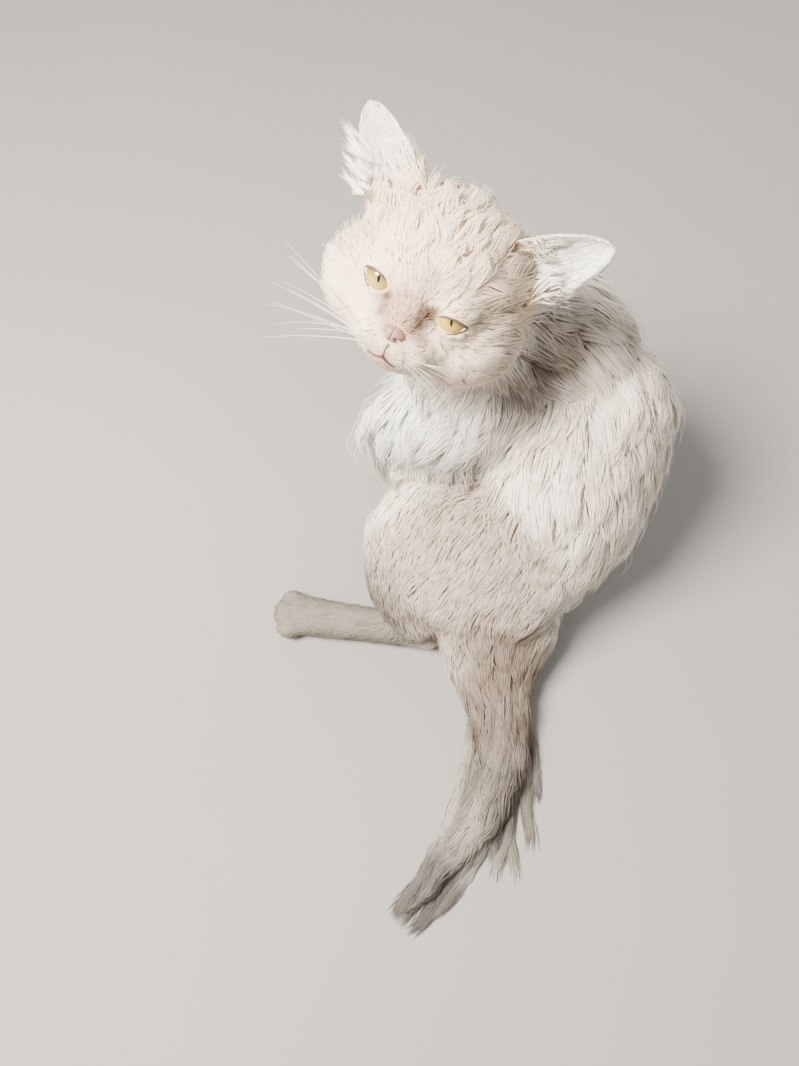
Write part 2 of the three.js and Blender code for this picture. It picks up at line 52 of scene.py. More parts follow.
# Each limb: stations of x, y, z, half width and half depth; the way its back faces; the coat's depth.
# Ruff, haunch and flank are folds of loose skin over the hollows between the limbs
LIMBS = {
    "torso": ([(88, 226, 42, 38, 38), (102, 242, 56, 46, 46), (116, 260, 82, 59, 54),
               (128, 288, 114, 71, 62), (134, 320, 156, 66, 64)],
              [(0.6, -0.3, 0.6), (0.6, -0.3, 0.6), (0.6, -0.3, 0.6), (0.7, -0.2, 0.8), (0.6, 0, 1)], 7),
    "chest": ([(112, 322, 164, 40, 48), (82, 324, 168, 43, 50), (42, 318, 162, 39, 46),
               (10, 312, 152, 27, 32)],
              [(0.2, 0, 1), (0.2, 0, 1), (0, 0, 1), (0, 0, 1)], 7),
    "neck": ([(112, 340, 192, 52, 54), (84, 342, 224, 50, 50), (52, 336, 258, 44, 44)],
             [(1, 0, 0.6), (1, 0, 0.6), (1, 0.2, 0.6)], 7),
    "ruff": ([(24, 320, 242, 24, 24), (34, 321, 214, 27, 30), (46, 321, 184, 33, 38)],
             [(-1, 0, 0.4)] * 3, 7),
    "thigh_left": ([(92, 216, 66, 44, 36), (48, 234, 79, 57, 39), (12, 268, 93, 39, 33)],
                   [(0, -0.5, 1)] * 3, 4),
    "shank_left": ([(-1, 260, 80, 30, 26), (0, 229, 50, 31, 28), (14, 206, 28, 26, 22)],
                   [(-1, 0, 0.5)] * 3, 3),
    "foot_left": ([(22, 202, 15, 16, 17), (-26, 208, 12.5, 15, 14), (-84, 218, 12, 18, 14)],
                  [(0, 0, 1)] * 3, 1.6),
    "thigh_right": ([(106, 256, 30, 34, 32), (66, 280, 28, 34, 30), (34, 298, 24, 26, 26)],
                    [(0, 0, 1)] * 3, 4),
    "shank_right": ([(30, 296, 18, 20, 19), (52, 268, 16, 20, 17), (70, 244, 14, 16, 15)],
                    [(0, 0, 1)] * 3, 3),
    "foot_right": ([(64, 243, 13, 14, 14), (34, 243, 12, 14, 13), (4, 242, 11, 16, 12)],
                   [(0, 0, 1)] * 3, 1.6),
    "haunch": ([(66, 212, 63, 48, 33), (66, 190, 43, 40, 26), (70, 167, 26, 31, 19)],
               [(0, -0.2, 1)] * 3, 4),
    "flank": ([(88, 276, 96, 24, 22), (62, 284, 105, 19, 19), (38, 292, 113, 14, 14)],
              [(0, 0, 1)] * 3, 4),
    "tail": ([(82, 206, 34, 44, 32), (70, 176, 25, 36, 24), (74, 142, 15, 25, 14), (75, 100, 11, 19, 9.5),
              (58, 58, 8.5, 14, 7.5), (30, 26, 7, 8, 6), (4, -2, 5, 3, 4)],
             [(0, 0, 1)] * 7, 3),
}
for side_name, leg_y in (("left", 322), ("right", 362)):
    LIMBS["forepaw_" + side_name] = (
        [(44, leg_y, 16, 14, 16), (30, leg_y, 12, 15, 14), (14, leg_y, 11, 16, 12.5)], [(0, 0, 1)] * 3, 1.6)
    LIMBS["foreleg_" + side_name] = (
        [(72, leg_y - 11, 122, 32, 34), (66, leg_y - 6, 90, 26, 27), (54, leg_y, 58, 14, 15),
         (48, leg_y, 30, 13, 13)], [(1, 0, 0.3)] * 4, 3)
# Where each paw ends, the way its toes point and their reach
PAWS = [((-88, 219, 10), (-1, 0.15, 0), 17), ((0, 242, 10), (-1, 0, 0), 15),
        ((10, 322, 10), (-1, 0, 0), 16), ((10, 362, 10), (-1, 0, 0), 16)]
TOE_PLACES = (-1.5, -0.5, 0.5, 1.5)
TOE_SPACING = 0.56
TOE_ARC = 0.14
TOE_RADII = np.array([0.38, 0.48, 0.62])
UPWARD = np.array([0, 0, 1.0])
MASS_SPACING = 7
THINNEST_COAT = 0.3
ROUND_END = 0.8
HIDE_VOXEL = 2.6


def on_line(points, shares):
    """Places at some shares, 0 to 1, of a smooth line through the points."""
    points = np.asarray(points, float)
    points = np.vstack([2 * points[0] - points[1], points, 2 * points[-1] - points[-2]])
    place = np.clip(shares, 0, 1) * (len(points) - 3)
    first = np.minimum(place.astype(int), len(points) - 4)
    part = (place - first)[:, None]
    before, start, end, after = (points[first + step] for step in range(4))
    bend = 2 * before - 5 * start + 4 * end - after
    twist = 3 * start - before - 3 * end + after
    return start + 0.5 * ((end - before) * part + bend * part**2 + twist * part**3)


def unit(vectors):
    return vectors / np.maximum(np.linalg.norm(vectors, axis=-1, keepdims=True), 1e-9)


def limb_stations(name, count):
    """Middles, ways along, sideways and backward, and the two half sizes of a limb, in millimetres."""
    stations, backs, _ = LIMBS[name]
    shares = np.linspace(0, 1, count)
    rows = on_line(stations, shares)
    middles = rows[:, :3] - FLOOR_MIDDLE
    along = unit(np.gradient(middles, axis=0))
    sides = unit(np.cross(on_line(backs, shares), along))
    return middles, along, sides, np.cross(along, sides), rows[:, 3], rows[:, 4]


def add_egg(bm, middle, axes, radii, fineness=3):
    """An egg with its own three axes, in millimetres, as one more shell of the mesh."""
    frame_of_egg = Matrix.Identity(4)
    for column in range(3):
        frame_of_egg.col[column].xyz = Vector(axes[column]) * float(radii[column]) * MM
    frame_of_egg.translation = Vector(middle) * MM
    bmesh.ops.create_icosphere(bm, subdivisions=fineness, radius=1, matrix=frame_of_egg)


def new_object(bm, name):
    mesh = bpy.data.meshes.new(name)
    bm.to_mesh(mesh)
    bm.free()
    made = bpy.data.objects.new(name, mesh)
    bpy.context.collection.objects.link(made)
    return made


def apply_modifiers(made):
    settled = bpy.data.meshes.new_from_object(made.evaluated_get(bpy.context.evaluated_depsgraph_get()))
    made.modifiers.clear()
    old = made.data
    made.data = settled
    bpy.data.meshes.remove(old)


def paw_ways(way):
    """The ways forward and across of a paw's toes."""
    forward = unit(np.array(way, float))
    return forward, np.array([-forward[1], forward[0], 0])


def toe_place(end, forward, across, reach, place, ahead=0.0):
    """The middle of the toe at a place across the paw, or ahead of it by a part of the toes' reach."""
    root = np.array(end) - FLOOR_MIDDLE + across * place * reach * TOE_SPACING
    return root + forward * reach * (0.5 - TOE_ARC * place**2 + ahead)


def smooth_faces(made):
    for face in made.data.polygons:
        face.use_smooth = True


def soften(made, rounds, group=""):
    """Draws a mesh smooth over a number of rounds, all over or where a vertex group says."""
    smooth = made.modifiers.new("smooth", "SMOOTH")
    smooth.factor = 0.5
    smooth.iterations = rounds
    smooth.vertex_group = group
    apply_modifiers(made)


def join_into(whole, part):
    """Adds one mesh's faces to another, so that no mesh grows slow while its shells are made."""
    carrier = bpy.data.meshes.new("carrier")
    part.to_mesh(carrier)
    part.free()
    whole.from_mesh(carrier)
    bpy.data.meshes.remove(carrier)


body_bm = bmesh.new()
for limb_name, (stations, _, depth) in LIMBS.items():
    limb_bm = bmesh.new()
    length = np.linalg.norm(np.diff(np.array(stations)[:, :3], axis=0), axis=1).sum()
    for middle, along, side, up, wide, deep in zip(*limb_stations(limb_name, int(length / MASS_SPACING) + 3)):
        thin = min(depth, THINNEST_COAT * deep)
        end_reach = (wide + deep) / 2 * ROUND_END - thin
        add_egg(limb_bm, middle, (side, up, along), (wide - thin, deep - thin, end_reach))
    join_into(body_bm, limb_bm)
for end, way, reach in PAWS:
    paw_bm = bmesh.new()
    forward, across = paw_ways(way)
    for place in TOE_PLACES:
        middle = toe_place(end, forward, across, reach, place)
        add_egg(paw_bm, middle, (across, UPWARD, forward), TOE_RADII * reach - 1)
    join_into(body_bm, paw_bm)
skin = new_object(body_bm, "skin")
remesh = skin.modifiers.new("one surface", "REMESH")
remesh.mode = "VOXEL"
remesh.voxel_size = HIDE_VOXEL * MM
soften(skin, 6)

# The joins of limbs and trunk, where loose hide spans the hollows between the masses.
# It is drawn smooth there, while feet, toes and tail keep their form.
FORM_KEPT_WITHIN = 20
slender = []
for limb_name in ("foot_left", "foot_right", "forepaw_left", "forepaw_right"):
    slender += list(limb_stations(limb_name, 8)[0])
slender += list(limb_stations("tail", 12)[0][3:])
slender += [np.array(end) - FLOOR_MIDDLE for end, _, _ in PAWS]
joined = skin.vertex_groups.new(name="joined limbs")
hide_points = np.array([vert.co[:] for vert in skin.data.vertices]) / MM
clearance = np.min([np.linalg.norm(hide_points - middle, axis=1) for middle in slender], axis=0)
for index, share in enumerate(np.clip((clearance - FORM_KEPT_WITHIN) / FORM_KEPT_WITHIN, 0, 1)):
    joined.add([index], float(share), "REPLACE")
soften(skin, 20, joined.name)

# The head: the bare shape of the skull and its flesh, with the sockets of the eyes.
# A fine ball is moved out onto one smooth blend of rounded masses, then fused to the hide.
# Places on the head are given as left, up and forward of its middle, in millimetres.
HEAD_MIDDLE = np.array([20.5, 309.5, 293.0]) - FLOOR_MIDDLE
FORWARD = unit(np.array([-0.32, -0.77, 0.55]))
LEFT = unit(np.cross((0.448, 0.412, 0.793), FORWARD))
CROWN = np.cross(FORWARD, LEFT)
HEAD_AXES = np.array([LEFT, CROWN, FORWARD])
EYE_RADIUS = 10.2
EYE_SIDE = 21.5
EYE_UP = 1.0
EYE_FORWARD = 25.0
EYE_WIDTH = 18.0
# Heights above and below the line between the corners, for the left eye, 1, and the right, -1
EYE_HEIGHT = {1: (3.5, 5.6), -1: (4.5, 6.2)}
EYE_OUTWARD = 0.5
EYE_SLANT = 1.1
EYE_NARROWING = 0.35
LID_THICKNESS = 1.5
LID_EDGE = 0.92
# Middle and radii of each mass: skull, cheeks, brow, muzzle, chin, bridge of the nose and throat
HEAD_MASSES = [((0, 15, -16), (51, 37, 45)), ((31, -14, 0), (29, 26, 29)), ((-31, -14, 0), (29, 26, 29)),
               ((0, 17, 10), (36, 21, 23)), ((9.5, -22, 33), (13, 9.5, 13)), ((-9.5, -22, 33), (13, 9.5, 13)),
               ((0, -33, 27), (12, 8, 12)), ((0, -6, 32), (10, 14, 11)), ((0, -24, 8), (36, 20, 28)),
               ((EYE_SIDE, EYE_UP, EYE_FORWARD), [EYE_RADIUS + LID_THICKNESS] * 3),
               ((-EYE_SIDE, EYE_UP, EYE_FORWARD), [EYE_RADIUS + LID_THICKNESS] * 3)]
HEAD_BLEND = 10.0
# The coat's depth on the face, and how much deeper it is behind
FACE_COAT = 1.5
CROWN_COAT = 4.0
BEYOND_HEAD = 95.0
STEP_IN = 1.3
STEPS_IN = 70
HALVINGS = 12


def in_head(places):
    """Places given in the head, moved to where the head is on the cat, in millimetres."""
    return np.asarray(places, float) @ HEAD_AXES + HEAD_MIDDLE


def head_places(points):
    return (np.asarray(points, float) - HEAD_MIDDLE) @ HEAD_AXES.T


def head_distance(places):
    nearest = np.full(len(places), 1e3)
    for middle, radii in HEAD_MASSES:
        reach = np.linalg.norm((places - np.array(middle)) / np.array(radii), axis=1)
        distance = (reach - 1) * min(radii)
        mix = np.maximum(HEAD_BLEND - np.abs(nearest - distance), 0) / HEAD_BLEND
        nearest = np.minimum(nearest, distance) - mix**2 * HEAD_BLEND / 4
    return nearest


def head_reach(ways):
    """How far the head reaches from its middle along each way, found by stepping in from outside."""
    outside = np.full(len(ways), BEYOND_HEAD)
    for _ in range(STEPS_IN):
        outside -= STEP_IN * (head_distance(ways * outside[:, None]) > 0)
    inside, outside = outside, outside + STEP_IN
    for _ in range(HALVINGS):
        middle = (inside + outside) / 2
        out = head_distance(ways * middle[:, None]) > 0
        outside = np.where(out, middle, outside)
        inside = np.where(out, inside, middle)
    return inside


def eye_opening(places, side):
    """Below 1 between the lids of one eye, 1 on their rims, and more outside."""
    x = (places[:, 0] - side * (EYE_SIDE + EYE_OUTWARD)) / (EYE_WIDTH / 2)
    y = places[:, 1] - EYE_UP - side * x * EYE_SLANT
    height = np.where(y > 0, *EYE_HEIGHT[side]) * (1 - EYE_NARROWING * np.clip(x, -1, 1) ** 2)
    return np.hypot(x, y / height)


def nearer_opening(places):
    return np.minimum(eye_opening(places, 1), eye_opening(places, -1))


head_bm = bmesh.new()
bmesh.ops.create_icosphere(head_bm, subdivisions=7, radius=1)
ways = unit(np.array([vert.co[:] for vert in head_bm.verts]))
rough_places = ways * head_reach(ways)[:, None]
near_lids = (nearer_opening(rough_places) < 1.6) & (rough_places[:, 2] > 10)
lid_edges = [edge for edge in head_bm.edges if all(near_lids[vert.index] for vert in edge.verts)]
bmesh.ops.subdivide_edges(head_bm, edges=lid_edges, cuts=1, use_grid_fill=True)
bmesh.ops.triangulate(head_bm, faces=[face for face in head_bm.faces if len(face.verts) > 3])
ways = unit(np.array([vert.co[:] for vert in head_bm.verts]))
coat_on_head = FACE_COAT + CROWN_COAT * np.clip((0.75 - ways[:, 2]) / 0.9, 0, 1)
places = ways * (head_reach(ways) - coat_on_head)[:, None]
for side in (1, -1):
    eye_middle = np.array([side * EYE_SIDE, EYE_UP, EYE_FORWARD])
    from_eye = places - eye_middle
    reach = np.linalg.norm(from_eye, axis=1)
    opening = eye_opening(places, side)
    near_eye = (from_eye[:, 2] > 0) & (opening < 2.2)
    lid = EYE_RADIUS + LID_THICKNESS * np.clip((opening - LID_EDGE) / 0.3, 0, 1)
    wanted = np.where(opening < LID_EDGE, EYE_RADIUS * 0.9, np.maximum(reach, lid))
    places = np.where(near_eye[:, None], eye_middle + from_eye / reach[:, None] * wanted[:, None], places)
for vert, place in zip(head_bm.verts, in_head(places) * MM):
    vert.co = place
head = new_object(head_bm, "head_form")

# The ears: thin upright cups, open forward, wide at the root and rounded at the tip.
# Each is a sheet of skin bent across its width and thickened, its root sunk in the head.
EAR_ROOT = (47.0, 38.0, -12.0)
EAR_LENGTH = 38.0
EAR_WIDTH = 34.0
EAR_SUNK = 12.0
EAR_SKIN = 1.5


def ear_axes(side):
    length_way = unit(np.array([side * 0.72, 0.68, -0.06]))
    across_way = unit(np.cross((side * 0.25, 0.15, 0.95), length_way))
    return length_way, across_way, np.cross(length_way, across_way)


def ear_places(side, across, up):
    """Places on the bent sheet of an ear: across from -1 to 1 and up from root, 0, to tip, 1."""
    length_way, across_way, facing = ear_axes(side)
    half = EAR_WIDTH / 2 * (1 - up**1.8) ** 0.62 + 1.2
    cup = 0.55 * half * (1 - 0.5 * up)
    root = np.array([side * EAR_ROOT[0], *EAR_ROOT[1:]])
    lift = up * (EAR_LENGTH + EAR_SUNK) - EAR_SUNK
    return in_head(root + lift[:, None] * length_way + (across * half * 0.96)[:, None] * across_way
                   + (cup * (across**2 - 0.5))[:, None] * facing)


def put_rim_in_order(bm, first):
    """Sorts the faces of a rim, from the first on, by their points: solidify starts them by chance."""
    bm.verts.index_update()
    bm.faces.index_update()
    corners = {face.index: sorted(vert.index for vert in face.verts) for face in bm.faces}
    rim = sorted(range(first, len(corners)), key=corners.__getitem__)
    ranks = {index: first + rank for rank, index in enumerate(rim)}
    bm.faces.sort(key=lambda face: ranks.get(face.index, face.index))
    bm.faces.index_update()


ears = []
for side in (1, -1):
    ear_bm = bmesh.new()
    bmesh.ops.create_grid(ear_bm, x_segments=24, y_segments=32, size=1)
    sheet = ear_bm.faces[:]
    flat = np.array([vert.co[:] for vert in ear_bm.verts])
    for vert, place in zip(ear_bm.verts, ear_places(side, flat[:, 0], flat[:, 1] / 2 + 0.5) * MM):
        vert.co = place
    bmesh.ops.solidify(ear_bm, geom=sheet, thickness=EAR_SKIN * MM)
    put_rim_in_order(ear_bm, 2 * len(sheet))
    bmesh.ops.recalc_face_normals(ear_bm, faces=ear_bm.faces[:])
    if ear_bm.calc_volume(signed=True) < 0:
        bmesh.ops.reverse_faces(ear_bm, faces=ear_bm.faces[:])
    ears.append(new_object(ear_bm, "ear_form"))

# The whole skin: head and ears are fused with the hide of the body, so that it is one closed
# surface without a seam. It stands for all the flesh, and the coat is rooted in it.
for part in (head, *ears):
    fuse = skin.modifiers.new("fuse", "BOOLEAN")
    fuse.operation = "UNION"
    fuse.solver = "MANIFOLD"
    fuse.object = part
apply_modifiers(skin)
for part in (head, *ears):
    bpy.data.objects.remove(part)
smooth_faces(skin)
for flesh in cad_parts:
    if not flesh.startswith(("eye", "nose")):
        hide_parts(flesh)
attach(skin, "root")

# Some marks are painted shade: nape, recess by the bib, heel crease, left temple, brow furrow, hind foot.
# The markings of hide and coat alike: cream, whiter on face and bib, beige on the hind leg, tan on
# the tail's root and smoke-grey at its end, with tear stains by the eyes and cool white on the ears.
# One shader group gives the colour of any place on the cat, so that skin and hair agree.
CREAM = (0.91, 0.835, 0.725)
WHITE = (0.97, 0.81, 0.62)
BIB_WHITE = (0.93, 0.92, 0.87)
BEIGE = (0.50, 0.42, 0.34)
# The left hind foot's beige with painted shade: far darker than the leg, as if in shadow
PAW_BEIGE_AND_PAINTED_SHADE = (0.145, 0.124, 0.10)
TAN = (0.25, 0.192, 0.145)
SMOKE = (0.065, 0.055, 0.048)
# Grey-brown on the tail and by the left ear's root, and also painted shade in the crease between the left
# heel and the tail's root
GREY_AND_PAINTED_SHADE = (0.11, 0.09, 0.073)
# Painted shade on nape and withers and in the recess by the bib, over a somewhat darker undercoat
DARK_NAPE_AND_PAINTED_SHADE = (0.20, 0.155, 0.125)
# Tan streaks of the forehead, and painted shade in its furrow and on the left temple
BROW_STREAK_AND_PAINTED_SHADE = (0.55, 0.45, 0.36)
MUZZLE_TAN = (0.50, 0.32, 0.22)
TEAR = (0.12, 0.06, 0.035)
LIP_PINK = (0.84, 0.52, 0.46)
DINGY_TINT = (0.91, 0.88, 0.84)
HIDE_TINT = (0.98, 0.94, 0.91)
EDGE_DRIFT = 0.02


def add_node(tree, kind, inputs=None, **settings):
    made = tree.nodes.new(kind)
    for key, value in settings.items():
        setattr(made, key, value)
    for key, value in (inputs or {}).items():
        if isinstance(value, bpy.types.NodeSocket):
            tree.links.new(value, made.inputs[key])
        else:
            made.inputs[key].default_value = value
    return made


def cat_place(head_place):
    return tuple(in_head([head_place])[0] * MM)


def room_place(*place):
    return tuple((np.array(place, float) - FLOOR_MIDDLE) * MM)


def vector_math(tree, operation, *values):
    """One sum of vectors, as a node."""
    return add_node(tree, "ShaderNodeVectorMath", dict(enumerate(values)), operation=operation)


def scaled(tree, colour, factor):
    """A colour or vector times a factor, as a socket."""
    return add_node(tree, "ShaderNodeVectorMath", {0: colour, "Scale": factor}, operation="SCALE").outputs[0]


def mixed(tree, factor, first, second, **settings):
    """The colour between two, or the one multiplied by the other, as a socket."""
    mix = add_node(tree, "ShaderNodeMix", {"Factor": factor, "A": first, "B": second}, data_type="RGBA",
                   **settings)
    return mix.outputs["Result"]


def mapped(tree, value, low, high, low_to=0.0, high_to=1.0, **settings):
    """A value brought from one range to another, as a socket."""
    return add_node(tree, "ShaderNodeMapRange", {"Value": value, "From Min": low, "From Max": high,
                    "To Min": low_to, "To Max": high_to}, **settings).outputs["Result"]


def noise(tree, place, scale, detail):
    """A cloudy pattern, fixed to the cat."""
    return add_node(tree, "ShaderNodeTexNoise", {"Vector": place, "Scale": scale, "Detail": detail})


# Each mark, of coat colour and of painted shade alike: colour, middle, full within and gone beyond, in metres
# from the middle, and strength
MARKINGS_AND_PAINTED_SHADE = [
    (WHITE, cat_place((0, 0, 0)), 0.052, 0.072, 1.0),
    (BIB_WHITE, room_place(20, 316, 158), 0.040, 0.072, 1.0),
    (BEIGE, room_place(50, 232, 70), 0.062, 0.088, 1.0),
    # The left hind foot: beige darkened as painted shade of a foot lying in shadow
    (PAW_BEIGE_AND_PAINTED_SHADE, room_place(-60, 212, 12), 0.060, 0.095, 0.9),
    (BEIGE, room_place(40, 262, 20), 0.050, 0.080, 1.0),
    (TAN, room_place(78, 176, 22), 0.022, 0.062, 0.90),
    (TAN, room_place(70, 168, 46), 0.012, 0.042, 0.70),
    (TAN, room_place(78, 136, 14), 0.030, 0.062, 0.95),
    (GREY_AND_PAINTED_SHADE, room_place(78, 104, 12), 0.024, 0.066, 0.70),
    (GREY_AND_PAINTED_SHADE, room_place(62, 56, 9), 0.030, 0.060, 0.75),
    (GREY_AND_PAINTED_SHADE, room_place(92, 50, 4), 0.024, 0.060, 0.80),
    (SMOKE, room_place(94, 62, 3), 0.010, 0.040, 0.40),
    (SMOKE, room_place(4, -4, 5), 0.030, 0.068, 0.95),
    (BIB_WHITE, cat_place((64, 54, -12)), 0.016, 0.036, 0.80),
    (BIB_WHITE, cat_place((-64, 54, -12)), 0.014, 0.034, 0.50),
    (GREY_AND_PAINTED_SHADE, cat_place((48, 32, -4)), 0.004, 0.020, 0.25),
    # Painted shade: the head's shadow on the nape and withers, and the shade down the recess between bib and
    # flank; the nape's undercoat is a little darker too
    (DARK_NAPE_AND_PAINTED_SHADE, room_place(93, 317, 234), 0.020, 0.042, 0.92),
    (DARK_NAPE_AND_PAINTED_SHADE, room_place(128, 330, 222), 0.010, 0.040, 0.50),
    (DARK_NAPE_AND_PAINTED_SHADE, room_place(88, 300, 216), 0.010, 0.036, 0.70),
    (DARK_NAPE_AND_PAINTED_SHADE, room_place(80, 297, 192), 0.008, 0.032, 0.60),
    (DARK_NAPE_AND_PAINTED_SHADE, room_place(68, 290, 166), 0.006, 0.028, 0.50),
    (DARK_NAPE_AND_PAINTED_SHADE, room_place(57, 291, 134), 0.006, 0.030, 0.50),
    # Painted shade in the crease between the left heel and the tail's root
    (GREY_AND_PAINTED_SHADE, room_place(22, 206, 56), 0.004, 0.024, 0.50),
    (GREY_AND_PAINTED_SHADE, room_place(26, 190, 36), 0.003, 0.018, 0.60),
    # Tan streaks down the forehead, partly painted shade of the furrow between the eyes
    (BROW_STREAK_AND_PAINTED_SHADE, cat_place((0, 9, 36)), 0.003, 0.015, 0.55),
    (BROW_STREAK_AND_PAINTED_SHADE, cat_place((1, 19, 33)), 0.003, 0.015, 0.40),
    # Painted shade on the left temple
    (BROW_STREAK_AND_PAINTED_SHADE, cat_place((38, 2, 12)), 0.006, 0.026, 0.45),
    (MUZZLE_TAN, cat_place((-2, -8, 41)), 0.008, 0.020, 0.88),
    (MUZZLE_TAN, cat_place((11, -6, 36)), 0.004, 0.013, 0.70),
    (MUZZLE_TAN, cat_place((-11, -6, 36)), 0.004, 0.013, 0.65),
    (TEAR, cat_place((13.2, 0.8, 34)), 0.0015, 0.0062, 0.95),
    (TEAR, cat_place((8.5, 1.5, 36)), 0.001, 0.0055, 0.35),
    (TEAR, cat_place((10.0, -6.0, 36)), 0.001, 0.0065, 0.35),
    (TEAR, cat_place((-12.8, -2.5, 34)), 0.0015, 0.0060, 0.92),
    (TEAR, cat_place((-12.5, -9.6, 35.7)), 0.001, 0.0055, 0.55),
    (TEAR, cat_place((6, -21.5, 41)), 0.001, 0.0060, 0.55),
    (LIP_PINK, cat_place((-2.5, -33.5, 41)), 0.004, 0.010, 0.90),
]


def markings_and_shade_group():
    """A shader group whose one output is the coat's colour and painted shade at a place in the cat's own
    coordinates.
    """
    tree = bpy.data.node_groups.new("CoatMarkingsAndPaintedShade", "ShaderNodeTree")
    tree.interface.new_socket("Colour", in_out="OUTPUT", socket_type="NodeSocketColor")
    place = add_node(tree, "ShaderNodeTexCoord").outputs["Object"]
    drift = noise(tree, place, 60.0, 2.0).outputs["Color"]
    drift = vector_math(tree, "SUBTRACT", drift, (0.5, 0.5, 0.5)).outputs[0]
    moved = vector_math(tree, "ADD", place, scaled(tree, drift, EDGE_DRIFT)).outputs[0]
    colour = (*CREAM, 1)
    for mark_colour, middle, full, gone, strength in MARKINGS_AND_PAINTED_SHADE:
        away = vector_math(tree, "DISTANCE", moved, middle).outputs["Value"]
        mask = mapped(tree, away, gone, full, 0.0, strength, interpolation_type="SMOOTHSTEP")
        colour = mixed(tree, mask, colour, (*mark_colour, 1))
    patches = noise(tree, place, 34.0, 3.0).outputs["Fac"]
    dingy = mapped(tree, patches, 0.42, 0.68, interpolation_type="SMOOTHSTEP")
    toned = mixed(tree, dingy, (1, 1, 1, 1), (*DINGY_TINT, 1))
    add_node(tree, "NodeGroupOutput", {"Colour": mixed(tree, 1.0, colour, toned, blend_type="MULTIPLY")})
    return tree


COAT_MARKINGS_AND_PAINTED_SHADE = markings_and_shade_group()


def new_material(name, roughness, specular=0.5, **sockets):
    material = bpy.data.materials.new(name)
    material.use_nodes = True
    shader = material.node_tree.nodes["Principled BSDF"]
    shader.inputs["Roughness"].default_value = roughness
    shader.inputs["Specular IOR Level"].default_value = specular
    for key, value in sockets.items():
        shader.inputs[key.replace("_", " ")].default_value = value
    return material, material.node_tree, shader


def roughen(tree, shader, height, strength, depth):
    """Gives a shader's surface a fine relief of some depth, in metres."""
    bump = add_node(tree, "ShaderNodeBump", {"Height": height, "Strength": strength, "Distance": depth})
    tree.links.new(bump.outputs["Normal"], shader.inputs["Normal"])


def hide_material():
    """Bare hide under the hair: the coat's colour and painted shade, a little darker and pinker, finely
    grained.
    """
    material, tree, shader = new_material("hide", 0.8, 0.2)
    coat = add_node(tree, "ShaderNodeGroup", node_tree=COAT_MARKINGS_AND_PAINTED_SHADE).outputs["Colour"]
    darker = mixed(tree, 1.0, coat, (*HIDE_TINT, 1), blend_type="MULTIPLY")
    tree.links.new(darker, shader.inputs["Base Color"])
    grain = noise(tree, add_node(tree, "ShaderNodeTexCoord").outputs["Object"], 900.0, 3.0)
    roughen(tree, shader, grain.outputs["Fac"], 0.3, 0.0006)
    return material


skin.data.materials.clear()
skin.data.materials.append(hide_material())

# The lie of the coat: it lies along each limb, from the shoulders back to the tail and down the legs,
# and on the head it runs from the nose outward. It is worked out once for every point of the skin,
# and length, width and rise change smoothly from one part to the next.
# For each limb: 1 where hair runs with the stations, -1 against them, 0 where only its fall counts;
# then length, half width, rise and the size of its clumps at the first and the last station
LIES = {
    "torso": (-1, (26, 0.62, 6, 13), (30, 0.62, 8, 14)),
    "chest": (1, (28, 0.6, 9, 12), (30, 0.6, 11, 10)),
    "neck": (-1, (36, 0.6, 9, 14), (24, 0.6, 8, 11)),
    "ruff": (1, (28, 0.55, 7, 10), (32, 0.6, 9, 12)),
    "thigh_left": (0, (23, 0.62, 4.6, 10), (15, 0.54, 3.0, 8)),
    "haunch": (1, (22, 0.62, 4.6, 10), (30, 0.6, 5.5, 10)),
    "flank": (1, (20, 0.55, 4, 9), (16, 0.5, 4, 8)),
    "shank_left": (1, (13, 0.5, 3, 7), (10, 0.45, 2, 6)),
    "foot_left": (1, (11, 0.42, 2.2, 5), (8, 0.4, 1.6, 4)),
    "thigh_right": (-1, (18, 0.55, 4, 8), (12, 0.5, 3, 7)),
    "shank_right": (1, (10, 0.5, 3, 6), (8, 0.45, 2, 5)),
    "foot_right": (1, (9, 0.42, 1.4, 4), (7, 0.4, 1.2, 4)),
    "forepaw_left": (1, (9, 0.42, 1.4, 4), (7, 0.4, 1.2, 4)),
    "forepaw_right": (1, (9, 0.42, 1.4, 4), (7, 0.4, 1.2, 4)),
    "foreleg_left": (1, (18, 0.55, 5, 8), (10, 0.45, 2, 5)),
    "foreleg_right": (1, (18, 0.55, 5, 8), (10, 0.45, 2, 5)),
    "tail": (1, (30, 0.6, 6, 11), (34, 0.55, 5, 8)),
}
# Added to the limb's own way: the bib hangs down, and the thigh's hair falls from the hip to the hock
FALLS = {"chest": np.array([0.0, -0.75, -0.65]), "ruff": np.array([-0.8, -0.4, 0.0]),
         "thigh_left": np.array([-0.6, -0.85, -0.2])}
FACE_LIE = (6.0, 0.33, 1.6, 5)
CROWN_LIE = (20.0, 0.5, 5.5, 8)
RUFF_LIE = (26.0, 0.5, 7, 8)
TEMPLE_LIE = (17.0, 0.45, 8.0, 7)
EAR_LIE = (6.0, 0.35, 0.9, 4)
EAR_LINING_LIE = (11.0, 0.3, 1.0, 5)
LIE_STATIONS = 24
# Where the hair of the head parts, in front of the nose; and the mouth, round which it is short
PARTING = np.array([0, -12, 44])
MOUTH_MIDDLE = np.array([0, -28, 42])
MOUTH_HALF = np.array([13, 8, 12])
SHORTEST_BY_EYE = 0.25
SHORTEST_BY_MOUTH = 0.35


def rows_of(collection, key, width, kind=float):
    """One value of every item in a mesh's collection, as a row each."""
    values = np.zeros(len(collection) * width, kind)
    collection.foreach_get(key, values)
    return values.reshape(-1, width)


